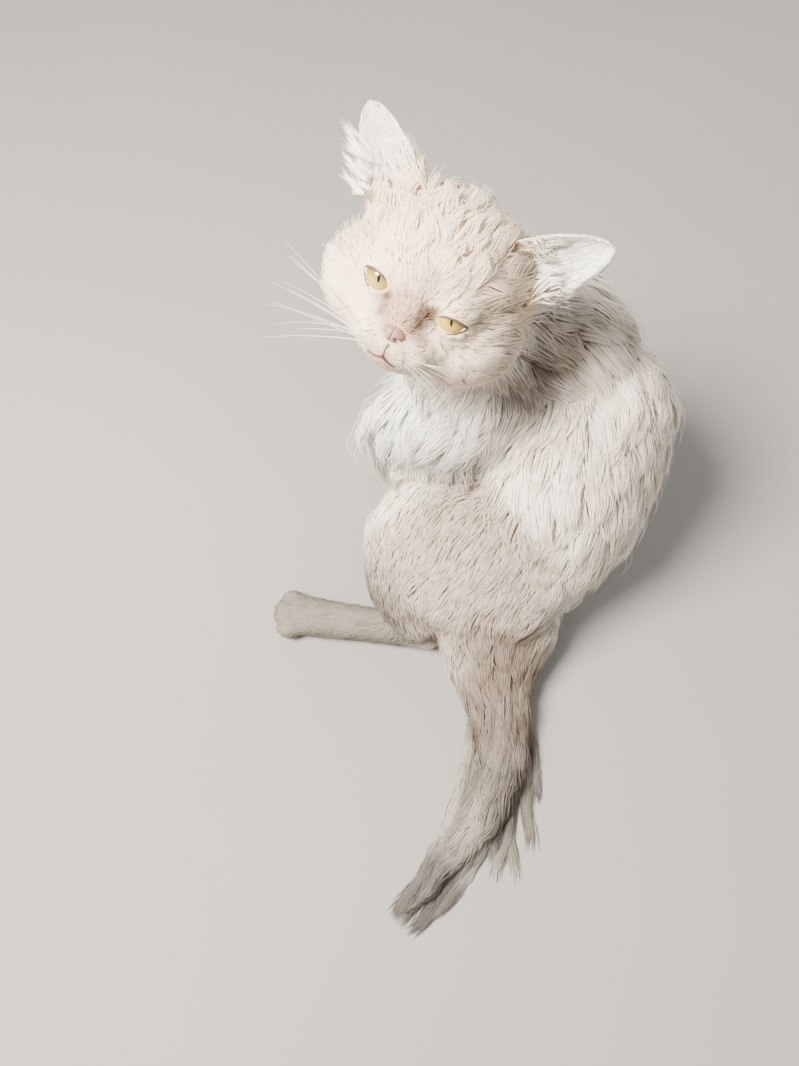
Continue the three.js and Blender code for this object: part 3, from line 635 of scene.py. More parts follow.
skin_points = rows_of(skin.data.vertices, "co", 3) / MM
skin_normals = rows_of(skin.data.vertices, "normal", 3)
count = len(skin_points)
parts = list(LIES) + ["head", "ear_left", "ear_right"]
closeness = np.full(count, 1e9)
part_of = np.zeros(count, int)
ways = np.zeros((count, 3))
lies = np.zeros((count, 4))
for index, (limb_name, (sense, first, last)) in enumerate(LIES.items()):
    middles, along, _, _, wide, deep = limb_stations(limb_name, LIE_STATIONS)
    for step, middle in enumerate(middles):
        close = np.linalg.norm(skin_points - middle, axis=1) / ((wide[step] + deep[step]) / 2)
        nearer = close < closeness
        closeness[nearer] = close[nearer]
        part_of[nearer] = index
        ways[nearer] = sense * along[step] + FALLS.get(limb_name, 0)
        share = step / (LIE_STATIONS - 1)
        lies[nearer] = np.array(first) * (1 - share) + np.array(last) * share

on_head = head_places(skin_points)
head_close = (np.abs(head_distance(on_head) + 3) < 6) & (on_head[:, 1] > -48)
part_of[head_close] = parts.index("head")
ways[head_close] = ((on_head - PARTING) @ HEAD_AXES)[head_close]
brow = np.clip((on_head[:, 1] - 4) / 12, 0, 1)
behind = np.clip((30 + 14 * brow - on_head[:, 2]) / 34, 0, 1)[:, None]
low = np.clip((-6 - on_head[:, 1]) / 24, 0, 1)[:, None]
rear = np.array(CROWN_LIE) * (1 - low) + np.array(RUFF_LIE) * low
lies[head_close] = (np.array(FACE_LIE) * (1 - behind) + rear * behind)[head_close]
temple = np.clip(1 - np.abs(on_head[:, 1] - 8) / 26, 0, 1) * np.clip((np.abs(on_head[:, 0]) - 28) / 10, 0, 1)
temple = (temple * head_close * (on_head[:, 2] > -24))[:, None]
lies = lies * (1 - temple) + np.array(TEMPLE_LIE) * temple
beside_eye = np.clip((nearer_opening(on_head) - 0.9) / 0.9, SHORTEST_BY_EYE, 1)
beside_eye[on_head[:, 2] < 8] = 1
from_mouth = np.linalg.norm((on_head - MOUTH_MIDDLE) / MOUTH_HALF, axis=1)
beside_mouth = np.clip((from_mouth - 0.3) / 0.9, SHORTEST_BY_MOUTH, 1)
for name, side in (("ear_left", 1), ("ear_right", -1)):
    length_way, across_way, facing = ear_axes(side)
    from_root = on_head - np.array([side * EAR_ROOT[0], *EAR_ROOT[1:]])
    up = from_root @ length_way
    in_ear = (up > 1) & (np.abs(head_distance(on_head)) > 3)
    in_ear &= (np.abs(from_root @ across_way) < EAR_WIDTH / 2 + 3) & (np.abs(from_root @ facing) < 14)
    part_of[in_ear] = parts.index(name)
    ways[in_ear] = length_way @ HEAD_AXES
    lining = in_ear & (skin_normals @ (facing @ HEAD_AXES) > 0) & (up < EAR_LENGTH * 0.75)
    lies[in_ear] = EAR_LIE
    lies[lining] = EAR_LINING_LIE
ways = unit(ways)

edges = rows_of(skin.data.edges, "vertices", 2, int)
neighbours = np.bincount(edges.ravel(), minlength=count)[:, None]


def evened(values, rounds):
    """The values with each point drawn towards its neighbours on the skin, a number of rounds."""
    for _ in range(rounds):
        total = np.zeros_like(values)
        for column in range(values.shape[1]):
            total[:, column] = np.bincount(edges[:, 0], values[edges[:, 1], column], count)
            total[:, column] += np.bincount(edges[:, 1], values[edges[:, 0], column], count)
        values = 0.4 * values + 0.6 * total / neighbours
    return values


ways = evened(ways, 60)
ways = unit(ways - (ways * skin_normals).sum(1, keepdims=True) * skin_normals)
lies = evened(lies, 40)
lies[:, [0, 2]] *= np.minimum(beside_eye, beside_mouth)[:, None]

# The skin's own unwrap, laid out flat in patches once the whole hide is closed.
# Each tuft of the coat takes the place of its root from it, so that the two share one layout.
bpy.context.view_layer.objects.active = skin
skin.select_set(True)
skin.data.uv_layers.new(name="OFBake")
bpy.ops.object.mode_set(mode="EDIT")
bpy.ops.mesh.select_all(action="SELECT")
bpy.ops.uv.smart_project(angle_limit=math.radians(66), island_margin=0.004)
bpy.ops.object.mode_set(mode="OBJECT")

# The coat over trunk and rump: long soft hair in overlapping clumps, rooted in the hide.
# Each tuft is a thin closed blade that tapers to its tip. It lies along the skin, step by step, and
# its tip is drawn to the tip of its clump, so the hair parts into flat locks as real long fur does.
RNG_SEED = 11
STRAY_SHARE = 0.10
CLUMP_LENGTH = (0.8, 1.15)
CLUMP_RISE = (0.65, 1.3)
LOOSE_RISE = 1.6
ROOT_SUNK = 0.6
FLOOR_CLEARANCE = 0.4
TUFT_PATCH = 0.0015
BLADE_RIDGE = 0.55
BLADE_SINK = 0.2
BLADE_ROUNDING = 0.6
TONE_STEP = 0.055

skin.data.calc_loop_triangles()
triangles = rows_of(skin.data.loop_triangles, "vertices", 3, int)
triangle_loops = rows_of(skin.data.loop_triangles, "loops", 3, int)
triangle_unwrap = rows_of(skin.data.uv_layers["OFBake"].data, "uv", 2)[triangle_loops]
corners = skin_points[triangles]
first_sides = corners[:, 1] - corners[:, 0]
triangle_areas = np.linalg.norm(np.cross(first_sides, corners[:, 2] - corners[:, 0]), axis=1) / 2
triangle_middles = corners.mean(1)
triangle_parts = part_of[triangles[:, 0]]
triangle_head_places = head_places(triangle_middles)
SKIN_TREE = BVHTree.FromPolygons(skin_points.tolist(), triangles.tolist(), all_triangles=True)


def nearest_on_skin(places):
    """The nearest places on the skin, and the normal and the lie of the hair there."""
    hits = [SKIN_TREE.find_nearest(place) for place in places.tolist()]
    found = np.array([hit[0] for hit in hits])
    corners_hit = triangles[np.array([hit[2] for hit in hits])]
    return found, unit(skin_normals[corners_hit].mean(1)), unit(ways[corners_hit].mean(1))


def turned(vectors, normals, angles):
    return vectors * np.cos(angles)[:, None] + np.cross(normals, vectors) * np.sin(angles)[:, None]


def on_parts(*names):
    """Which triangles of the skin lie on the named parts."""
    return np.isin(triangle_parts, [parts.index(name) for name in names])


def blade_mesh(name, middles, normals, half_widths, along, tones, unwrap_places):
    """Closed three-sided blades through rows of places, one row a tuft, each row ending in a tip."""
    tufts, sections, _ = middles.shape
    directions = unit(np.gradient(middles, axis=1))
    across = unit(np.cross(normals, directions))
    above = unit(np.cross(directions, across))
    tip_middles, tip_normals = middles[:, -1:], normals[:, -1:]
    middles, normals, across, above = (rows[:, :-1] for rows in (middles, normals, across, above))
    half = half_widths[:, :-1, None]
    left = middles + across * half - above * half * BLADE_SINK
    ridge = middles + above * half * BLADE_RIDGE
    right = middles - across * half - above * half * BLADE_SINK
    rings = np.stack((left, ridge, right), 2).reshape(tufts, -1, 3)
    points = np.concatenate((rings, tip_middles), 1) * MM
    shade = np.stack((normals + across * BLADE_ROUNDING, normals + above * 0.2,
                      normals - across * BLADE_ROUNDING), 2).reshape(tufts, -1, 3)
    shade = unit(np.concatenate((shade, tip_normals), 1))
    under = -unit(np.concatenate((np.repeat(above, 3, axis=1), tip_normals), 1))
    each = rings.shape[1] + 1
    faces = [(0, 2, 1)]
    for ring in range(0, each - 4, 3):
        for k in range(3):
            a, b = ring + k, ring + (k + 1) % 3
            faces += [(a, b, a + 3), (a + 3, b, b + 3)]
    last = each - 4
    faces += [(last + k, last + (k + 1) % 3, each - 1) for k in range(3)]
    below = [True] + [k == 2 for _ in range(0, each - 4, 3) for k in (0, 0, 1, 1, 2, 2)]
    below += [k == 2 for k in range(3)]
    corner = np.array(faces).ravel()
    below = np.repeat(below, 3)
    order = (corner[None] + np.arange(tufts)[:, None] * each).ravel()
    corner_normals = np.where(below[None, :, None], under[:, corner], shade[:, corner]).reshape(-1, 3)
    share = np.repeat(along[:sections - 1], 3)
    beside = np.tile((-1.0, 0.0, 1.0), sections - 1)
    patch = np.stack((np.append(beside * (1 - 0.5 * share), 0), np.append(share * 2 - 1, 1)), 1)
    patch[1, 1] += 0.3
    places = (unwrap_places[:, None] + patch[None] * TUFT_PATCH).reshape(-1, 2)

    mesh = bpy.data.meshes.new(name)
    mesh.vertices.add(tufts * each)
    mesh.vertices.foreach_set("co", points.astype(np.float32).ravel())
    mesh.loops.add(len(order))
    mesh.loops.foreach_set("vertex_index", order.astype(np.int32))
    mesh.polygons.add(len(order) // 3)
    mesh.polygons.foreach_set("loop_start", np.arange(0, len(order), 3, dtype=np.int32))
    mesh.update(calc_edges=True)
    mesh.uv_layers.new(name="OFBake").data.foreach_set("uv", places[order].astype(np.float32).ravel())
    from_root = mesh.attributes.new("from_root", "FLOAT", "POINT")
    from_root.data.foreach_set("value", np.tile(np.append(share, 1), tufts).astype(np.float32))
    tone = mesh.attributes.new("tone", "FLOAT", "POINT")
    tone.data.foreach_set("value", np.repeat(tones, each).astype(np.float32))
    mesh.polygons.foreach_set("use_smooth", np.ones(len(order) // 3, bool))
    mesh.normals_split_custom_set(corner_normals.tolist())
    made = bpy.data.objects.new(name, mesh)
    bpy.context.collection.objects.link(made)
    return made


def grow_coat(name, where, tufts, material, seed, sections=4, pull=0.52, sideways=0.18, loose=0.0,
              wave=0.0, spring=0.4):
    """Tufts over the chosen triangles of the skin, as many as are asked, gathered into clumps.

    Pull draws the tips of a clump together, sideways turns its hair, loose is the share of clumps that
    stand off, wave bends the hair from side to side, and spring keeps it straight over a bend of the skin.
    """
    rng = np.random.default_rng(RNG_SEED + seed)
    weights = triangle_areas * where
    picks = rng.choice(len(triangles), tufts, p=weights / weights.sum())
    mix = rng.random((tufts, 2))
    mix = np.where(mix.sum(1, keepdims=True) > 1, 1 - mix, mix)
    mix = np.column_stack((1 - mix.sum(1), mix))[:, :, None]
    corners_here = triangles[picks]
    roots = (skin_points[corners_here] * mix).sum(1)
    lie = (lies[corners_here] * mix).sum(1)
    unwrap_places = (triangle_unwrap[picks] * mix).sum(1)
    lengths, halves, rises, clumps = lie.T

    clump_count = max(int(weights.sum() / np.mean(clumps) ** 2), 8)
    guides = rng.choice(tufts, min(clump_count, tufts), replace=False)
    finder = kdtree.KDTree(len(guides))
    for index, guide in enumerate(guides):
        finder.insert(roots[guide], index)
    finder.balance()
    clump_of = np.array([finder.find(root)[1] for root in roots.tolist()])
    clump_length = rng.uniform(*CLUMP_LENGTH, len(guides))[clump_of]
    clump_rise = rng.uniform(*CLUMP_RISE, len(guides))
    clump_rise[rng.random(len(guides)) < loose] *= LOOSE_RISE
    clump_rise = clump_rise[clump_of]
    clump_turn = rng.normal(0, sideways, len(guides))[clump_of]
    clump_bend = rng.normal(0, sideways * 1.4, len(guides))[clump_of]
    clump_tone = rng.normal(0, 0.5, len(guides))[clump_of]

    stray = rng.random(tufts) < STRAY_SHARE
    lengths = lengths * clump_length * rng.uniform(0.8, 1.1, tufts) * np.where(stray, 1.15, 1)
    rises = rises * clump_rise * np.where(stray, 1.5, rng.uniform(0.75, 1.15, tufts))
    halves = halves * rng.uniform(0.75, 1.2, tufts) * np.where(stray, 0.4, 1)
    angle = clump_turn + rng.normal(0, 0.16, tufts)
    found, normal, way = nearest_on_skin(roots)
    rows, normals = [found], [normal]
    for step in range(sections - 1):
        way = turned(way, normal, angle)
        ahead = rows[-1] + way * (lengths / (sections - 1))[:, None]
        found, normal, way = nearest_on_skin(ahead)
        clear = np.maximum(((ahead - found) * normal).sum(1), 0)
        rows.append(found + normal * (spring * clear)[:, None])
        normals.append(normal)
        angle = clump_turn + clump_bend * (step + 1) / (sections - 1)
    middles, normals = np.stack(rows, 1), np.stack(normals, 1)
    along = np.linspace(0, 1, sections)
    height = np.interp(along, (0, 0.3, 0.65, 1), (-0.12, 0.5, 0.9, 1.0))
    middles = middles + normals * (height[None] * rises[:, None])[:, :, None]
    middles[:, 0] -= normals[:, 0] * ROOT_SUNK
    if wave:
        phase = rng.uniform(0, 2 * math.pi, len(guides))[clump_of]
        swing = np.sin(along[None] * 2 * math.pi + phase[:, None]) * wave * along[None] ** 0.5
        middles = middles + unit(np.cross(normals, np.gradient(middles, axis=1))) * swing[:, :, None]
    draw = (pull * along**1.4)[None, :, None] * np.where(stray, 0.25, 1)[:, None, None]
    guide_of = guides[clump_of]
    middles = middles + draw * (middles[guide_of] - middles)
    middles[:, :, 2] = np.maximum(middles[:, :, 2], FLOOR_CLEARANCE)
    taper = np.interp(along, (0, 0.35, 0.7, 1), (0.75, 1, 0.7, 0))
    tones = clump_tone + rng.normal(0, 0.7, tufts)
    made = blade_mesh(name, middles, normals, halves[:, None] * taper[None], along, tones, unwrap_places)
    made.data.materials.append(material)
    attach(made, "root")
    return made


def hair_group():
    """The markings and painted shade, with painted shade darker towards a hair's root, each clump and hair a
    little lighter or darker.
    """
    tree = bpy.data.node_groups.new("HairColour", "ShaderNodeTree")
    tree.interface.new_socket("Colour", in_out="OUTPUT", socket_type="NodeSocketColor")
    coat = add_node(tree, "ShaderNodeGroup", node_tree=COAT_MARKINGS_AND_PAINTED_SHADE)
    from_root = add_node(tree, "ShaderNodeAttribute", attribute_name="from_root")
    tone = add_node(tree, "ShaderNodeAttribute", attribute_name="tone")
    # Painted shade among the hairs: each hair is darker at its root
    depth = mapped(tree, from_root.outputs["Fac"], 0.0, 0.7, 0.97, 1.02)
    vary = add_node(tree, "ShaderNodeMath", {0: tone.outputs["Fac"], 1: TONE_STEP, 2: depth},
                    operation="MULTIPLY_ADD")
    add_node(tree, "NodeGroupOutput", {"Colour": scaled(tree, coat.outputs["Colour"], vary.outputs[0])})
    return tree


HAIR_COLOUR = hair_group()


def hair_material(name, roughness):
    material, tree, shader = new_material(name, roughness, 0.35)
    hair = add_node(tree, "ShaderNodeGroup", node_tree=HAIR_COLOUR)
    tree.links.new(hair.outputs["Colour"], shader.inputs["Base Color"])
    return material


LONG_HAIR = hair_material("long_hair", 0.62)
in_torso = on_parts("torso")
fore_half = triangle_middles @ np.array([0.1, 0.55, 0.83]) > 118
grow_coat("coat_ribs_fore", in_torso & fore_half, 10200, LONG_HAIR, 1, loose=0.04)
grow_coat("coat_ribs_rear", in_torso & ~fore_half, 10200, LONG_HAIR, 2, loose=0.02)

# The neck's ruff, longer and looser, falling back over the shoulders, and the white bib of the chest.
# The bib hangs down free, and along its lower edge stand two rows of longer locks, one below the other.
grow_coat("coat_neck", on_parts("neck", "ruff"), 10400, LONG_HAIR, 3, pull=0.45)
grow_coat("coat_chest", on_parts("chest"), 8500, LONG_HAIR, 4, loose=0.08, spring=0.8)


def add_locks(name, paths, material, seed, reach, half, each_lock, above=(0, 0, 1), tip=0.12,
              fray=0.0, sway=0.9):
    """Long locks of hair along given lines: each is (places, half width, tone), narrowing to its tip.

    Reach and half are a hair's length and half width, above is the way that a lock faces, tip is its width
    there in parts of its own, fray parts its hairs, and sway bends it as a whole.
    """
    rng = np.random.default_rng(RNG_SEED + seed)
    sections = 4
    along = np.linspace(0, 1, sections)
    rows, row_normals, tones = [], [], []
    for places, width, lock_tone in paths:
        length = np.linalg.norm(np.diff(places, axis=0), axis=1).sum()
        start = rng.random(each_lock) ** 1.1 * max(1 - 0.6 * reach / length, 0.2)
        ends = start + reach / length * rng.uniform(0.7, 1.15, each_lock)
        ends = np.minimum(ends, rng.uniform(0.74, 1, each_lock))
        shares = (start[:, None] + (ends - start)[:, None] * along).ravel()
        line = on_line(places, shares)
        way = unit(on_line(places, shares + 0.02) - on_line(places, shares - 0.02))
        side = unit(np.cross(above, way))
        up = np.cross(way, side)
        narrow = np.interp(shares, (0, 0.2, 0.55, 0.85, 1), (0.7, 1, 0.85, (0.55 + tip) / 2, tip)) * width
        across = np.repeat(rng.uniform(-1, 1, each_lock), sections)
        across = across + rng.normal(0, 0.22, each_lock * sections)
        high = np.repeat(rng.uniform(0, 1, each_lock) ** 0.5, sections)
        high = high * np.sqrt(np.maximum(1 - across**2, 0.05))
        swing = np.sin(shares * length / 9 + rng.uniform(0, 6.3)) * sway * shares
        swing += np.repeat(rng.normal(0, fray, each_lock), sections) * shares**2
        place = line + side * (across * narrow + swing)[:, None] + up * (high * narrow * 0.6)[:, None]
        rows.append(place.reshape(each_lock, sections, 3))
        facing = unit(up + side * (np.clip(across, -1, 1) * 0.8)[:, None])
        row_normals.append(facing.reshape(each_lock, sections, 3))
        tones.append(lock_tone + rng.normal(0, 1.6, each_lock))
    rows, row_normals = np.concatenate(rows), np.concatenate(row_normals)
    hits = [SKIN_TREE.find_nearest(place)[2] for place in rows[:, 0].tolist()]
    widths = half * np.interp(along, (0, 0.3, 0.7, 1), (0.6, 1, 0.8, 0)) * np.ones((len(rows), 1))
    made = blade_mesh(name, rows, row_normals, widths, along, np.concatenate(tones),
                      triangle_unwrap[hits].mean(1))
    made.data.materials.append(material)
    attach(made, "root")
    return made


# Each row of locks: the line along which they are rooted, and their number
BIB_EDGES = [
    ([(-16, 312, 160), (-8, 304, 154), (4, 298, 150), (20, 295, 148), (38, 295, 148), (56, 301, 152)], 40),
    ([(6, 294, 143), (20, 289, 141), (36, 286, 140), (52, 287, 140), (66, 293, 142)], 26),
]
BIB_CURL = np.array([0.12, -0.05, -0.2])
bib_locks = []
lock_rng = np.random.default_rng(RNG_SEED + 40)
for edge, lock_count in BIB_EDGES:
    for share in np.linspace(0, 1, lock_count):
        start = on_line(edge, np.array([share]))[0] + lock_rng.normal(0, 3, 3) - FLOOR_MIDDLE
        fall = unit(np.array([-0.35 + 0.45 * share, -0.28, -0.93]) + lock_rng.normal(0, 0.12, 3))
        size = lock_rng.uniform(20, 32)
        line = [start + fall * size * t + BIB_CURL * size * t**2 for t in (-0.4, 0, 0.5, 1)]
        bib_locks.append((line, lock_rng.uniform(4.5, 7.5), lock_rng.normal(0, 0.5)))
add_locks("bib_locks", bib_locks, LONG_HAIR, 14, 20, 0.36, 54, above=(-0.3, -0.9, 0.3), tip=0.4,
          fray=1.6)

# The legs and paws: short close hair that lies down the limb, a little longer on thigh and upper arm.
# On the left it also covers the fold of loose skin at the flank, between the thigh and the bib.
SHORT_HAIR = hair_material("short_hair", 0.68)
left_leg = on_parts("thigh_left", "shank_left", "foot_left", "flank")
other_legs = on_parts(*[limb for limb in LIES if limb.endswith("right") or limb.startswith("fore")])
grow_coat("coat_left_leg", left_leg, 13600, SHORT_HAIR, 6, sections=3, pull=0.35,
          sideways=0.12)
grow_coat("coat_other_legs", other_legs, 8000, SHORT_HAIR, 7, sections=3, pull=0.35,
          sideways=0.12)

# The tail's brush: long hair laid back along it, tan at the root and smoke-grey at the end.
# Over it lie long wavy locks that part from one another and hang to the floor on the tail's right.
# Each lock: the floor places of its line, its half width and its hair's tone, lighter above 0
TAIL_LOCKS = [
    ([(99, 168), (91, 137), (97, 111), (101, 84), (98, 64)], 4.2, -7.0),
    ([(94, 160), (86, 130), (90, 98), (94, 72), (92, 50)], 4.4, -1.0),
    ([(88, 149), (81, 120), (85, 100), (92, 80), (90, 53), (91, 28)], 4.0, 1.5),
    ([(84, 140), (79, 104), (72, 75), (65, 45), (60, 18)], 3.6, -7.5),
    ([(84, 120), (80, 89), (78, 66), (74, 40), (66, 22), (60, 12)], 4.2, -4.0),
    ([(86, 96), (83, 74), (78, 54), (75, 34), (79, 7)], 3.2, 0.5),
    ([(79, 156), (74, 110), (64, 85), (55, 60), (49, 41), (40, 22)], 6.4, 2.6),
    ([(68, 141), (65, 111), (54, 83), (42, 53), (29, 29)], 5.6, -2.0),
    ([(57, 141), (51, 108), (42, 79), (30, 48), (16, 23)], 5.4, 1.8),
    ([(57, 97), (45, 70), (39, 46), (28, 27), (16, 3)], 4.4, -6.0),
    ([(60, 54), (48, 27), (34, 7), (20, -4), (3, -17)], 5.0, -3.0),
    ([(54, 46), (42, 26), (27, 6), (12, -8), (-4, -22)], 4.8, -8.0),
    ([(40, 58), (32, 45), (17, 22), (5, 3), (-10, -17)], 5.6, -5.0),
    ([(28, 48), (18, 30), (8, 14), (-2, 0), (-14, -12)], 4.4, -4.0),
]


def laid_on_skin(floor_line, gap):
    """A line given by floor places, lifted onto the top of the skin, or just above the floor beside it."""
    line = on_line(np.array([(x, y, 0) for x, y in floor_line], float), np.linspace(0, 1, 15)) - FLOOR_MIDDLE
    for place in line:
        hit = SKIN_TREE.ray_cast(Vector((place[0], place[1], 200)), Vector((0, 0, -1)))[0]
        place[2] = hit[2] + gap if hit is not None and hit[2] < 60 else 1.5
    line[:, 2] = np.convolve(np.pad(line[:, 2], 2, mode="edge"), np.ones(5) / 5, "valid")
    return line


grow_coat("coat_tail", on_parts("tail", "haunch"), 8800, LONG_HAIR, 5, pull=0.5,
          sideways=0.10)
add_locks("tail_locks", [(laid_on_skin(line, 4.0), width, tone) for line, width, tone in TAIL_LOCKS],
          LONG_HAIR, 12, 38, 0.4, 300, tip=0.2, fray=2.4, sway=2.0)

# The head: short plush on the face, wavy clumps on crown and nape, and a soft ruff on the cheeks.
# Nothing grows between the lids or on the nose, and the hair is shortest beside them.
head_triangles = on_parts("head")
nose_off = triangle_head_places - np.array([0, -16.5, 40])
bare = (np.hypot(nose_off[:, 0] / 7.2, nose_off[:, 1] / 4.8) < 1) & (nose_off[:, 2] > -6)
for side in (1, -1):
    bare |= (eye_opening(triangle_head_places, side) < 1.05) & (triangle_head_places[:, 2] > 20)
forehead = np.clip((triangle_head_places[:, 1] - 6) / 10, 0, 1) * (triangle_head_places[:, 0] > -14)
face = triangle_head_places[:, 2] > 19 + 12 * forehead
grow_coat("coat_face", head_triangles & face & ~bare, 14000, SHORT_HAIR, 8, sections=3,
          pull=0.35, sideways=0.15)
cheeks = ~face & (triangle_head_places[:, 1] < 2)
grow_coat("coat_crown", head_triangles & ~face & ~cheeks, 7500, LONG_HAIR, 9, pull=0.85,
          loose=0.04, wave=2.0, spring=0.75)
grow_coat("coat_cheeks", head_triangles & cheeks, 5000, LONG_HAIR, 15, pull=0.55, wave=1.6,
          spring=0.7)

# The ears' short hair on the back and rim, and long fine hair that streams from the root inside.
# A few long tufts stand out from the root of the right ear, on its outer side.
grow_coat("coat_ears", on_parts("ear_left", "ear_right"), 5000, SHORT_HAIR, 10, sections=3,
          pull=0.15, sideways=0.10, spring=0.1)
EAR_TUFT_BEND = np.array([0.05, 0.12, -0.15])
ear_tufts = []
for share in np.linspace(0, 1, 17):
    root = np.array([-54 - 6 * share, 23 + 22 * share, -2.0 - 9 * share]) + lock_rng.normal(0, 1.4, 3)
    out = unit(np.array([-1.0, -0.10 + 0.30 * share, 0.1]) + lock_rng.normal(0, 0.14, 3))
    size = lock_rng.uniform(8, 19) + 13 * share
    line = [root + out * size * t + EAR_TUFT_BEND * size * t**2 for t in (0, 0.3, 0.6, 1)]
    ear_tufts.append((in_head(line), 0.9, 0.3))
add_locks("ear_tufts", ear_tufts, LONG_HAIR, 13, 18, 0.17, 20, above=FORWARD, fray=1.8)

# The eyes: wet round balls behind the lids, gold with a narrow dark pupil, looking up at the viewer.
# A ball swells a little at its front, as the clear cornea does, and the iris is drawn round its gaze.
EYE_GOLD = (0.68, 0.45, 0.075)
EYE_GREEN = (0.46, 0.36, 0.10)
EYE_RIM = (0.05, 0.04, 0.03)
PUPIL_BLACK = (0.004, 0.004, 0.004)
# The pupil's half width and half height, and between which parts of them its edge fades
PUPIL_HALF = (0.75, 2.2)
PUPIL_EDGE = (0.9, 1.15)
GAZE_AHEAD = 0.6
CORNEA_SWELL = 0.05
CAMERA_PLACE = (np.array([0.0, 0.0, 640.0]) - FLOOR_MIDDLE) * MM


def iris_group():
    """The colour of an eyeball, from its middle and the turn that brings its gaze upright, with painted
    shadow of the upper lid on the iris.
    """
    tree = bpy.data.node_groups.new("Iris", "ShaderNodeTree")
    tree.interface.new_socket("Middle", in_out="INPUT", socket_type="NodeSocketVector")
    tree.interface.new_socket("Turn", in_out="INPUT", socket_type="NodeSocketVector")
    tree.interface.new_socket("Colour", in_out="OUTPUT", socket_type="NodeSocketColor")
    given = add_node(tree, "NodeGroupInput").outputs
    place = add_node(tree, "ShaderNodeTexCoord").outputs["Object"]
    centred = vector_math(tree, "SUBTRACT", place, given["Middle"]).outputs[0]
    upright = add_node(tree, "ShaderNodeMapping", {"Vector": centred, "Rotation": given["Turn"]}).outputs[0]
    apart = add_node(tree, "ShaderNodeSeparateXYZ", {"Vector": upright}).outputs
    flat = add_node(tree, "ShaderNodeCombineXYZ", {"X": apart["X"], "Y": apart["Y"]}).outputs[0]
    reach = vector_math(tree, "LENGTH", flat).outputs["Value"]
    ring = mapped(tree, reach, 0.0, EYE_RADIUS * MM)
    iris = add_node(tree, "ShaderNodeValToRGB", {"Fac": ring})
    green, gold = iris.color_ramp.elements
    green.position = 0.10
    green.color = (*EYE_GREEN, 1)
    gold.position = 0.42
    gold.color = (*EYE_GOLD, 1)
    iris.color_ramp.elements.new(0.72).color = (*[v * 0.75 for v in EYE_GOLD], 1)
    iris.color_ramp.elements.new(0.80).color = (*EYE_RIM, 1)
    fibre = mapped(tree, noise(tree, upright, 700.0, 2.0).outputs["Fac"], 0.0, 1.0, 0.75, 1.2)
    fibred = scaled(tree, iris.outputs["Color"], fibre)
    slim = vector_math(tree, "MULTIPLY", flat, (1 / PUPIL_HALF[0], 1 / PUPIL_HALF[1], 0)).outputs[0]
    slim_reach = vector_math(tree, "LENGTH", slim).outputs["Value"]
    pupil = mapped(tree, slim_reach, PUPIL_EDGE[0] * MM, PUPIL_EDGE[1] * MM)
    colour = mixed(tree, pupil, (*PUPIL_BLACK, 1), fibred)
    # Painted shadow of the upper lid: the iris darkens towards the top of the eye
    height = vector_math(tree, "DOT_PRODUCT", centred, tuple(CROWN)).outputs["Value"]
    lid_painted_shadow = mapped(tree, height, -1.0 * MM, 4.5 * MM, 1.0, 0.28)
    add_node(tree, "NodeGroupOutput", {"Colour": scaled(tree, colour, lid_painted_shadow)})
    return tree


IRIS = iris_group()


def eye_material(name, middle, gaze):
    material, tree, shader = new_material(name, 0.12, 0.5, Coat_Weight=1.0, Coat_Roughness=0.02)
    turn = gaze.to_track_quat("Z", "Y").inverted().to_euler()
    iris = add_node(tree, "ShaderNodeGroup", node_tree=IRIS)
    iris.inputs["Middle"].default_value = tuple(middle)
    iris.inputs["Turn"].default_value = tuple(turn)
    tree.links.new(iris.outputs["Colour"], shader.inputs["Base Color"])
    return material


for name, side in (("left", 1), ("right", -1)):
    eye_middle = Vector(cat_place((side * EYE_SIDE, EYE_UP, EYE_FORWARD)))
    to_viewer = (Vector(CAMERA_PLACE) - eye_middle).normalized()
    to_opening = Vector(unit(np.array([side * 1.2 + 0.5, 0.4, 9.8])) @ HEAD_AXES)
    gaze = ((1 - GAZE_AHEAD) * to_viewer + GAZE_AHEAD * to_opening).normalized()
    eye_bm = bmesh.new()
    bmesh.ops.create_icosphere(eye_bm, subdivisions=6, radius=EYE_RADIUS * MM)
    for vert in eye_bm.verts:
        facing = vert.co.normalized().dot(gaze)
        vert.co *= 1 + CORNEA_SWELL * max((facing - 0.72) / 0.28, 0) ** 1.5
        vert.co += eye_middle
    eye = new_object(eye_bm, "eyeball_" + name)
    smooth_faces(eye)
    eye.data.materials.append(eye_material("eye_" + name, eye_middle, gaze))
    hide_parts("eye_" + name)
    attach(eye, "root")


# The rims of the lids: a fine line of bare dark-pink skin round each eye, a little thicker above.
# Each is a thin ring of skin that lies on the eyeball, where the lid ends.
def tube(name, lines, material, sides=8):
    """Round tapering tubes along lines of places in millimetres; each line is (places, radii, closed)."""
    carrier = bpy.data.curves.new(name, "CURVE")
    carrier.dimensions = "3D"
    carrier.bevel_depth = 1.0
    carrier.bevel_resolution = max(sides // 4, 1)
    carrier.use_fill_caps = True
    for places, radii, closed in lines:
        spline = carrier.splines.new("POLY")
        spline.points.add(len(places) - 1)
        spline.use_cyclic_u = closed
        for point, place, radius in zip(spline.points, places, radii):
            point.co = (*(np.array(place) * MM), 1)
            point.radius = radius * MM
    made = bpy.data.objects.new(name, carrier)
    bpy.context.collection.objects.link(made)
    mesh = bpy.data.meshes.new_from_object(made.evaluated_get(bpy.context.evaluated_depsgraph_get()))
    bpy.data.objects.remove(made)
    made = bpy.data.objects.new(name, mesh)
    bpy.context.collection.objects.link(made)
    mesh.materials.clear()
    mesh.materials.append(material)
    smooth_faces(made)
    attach(made, "root")
    return made


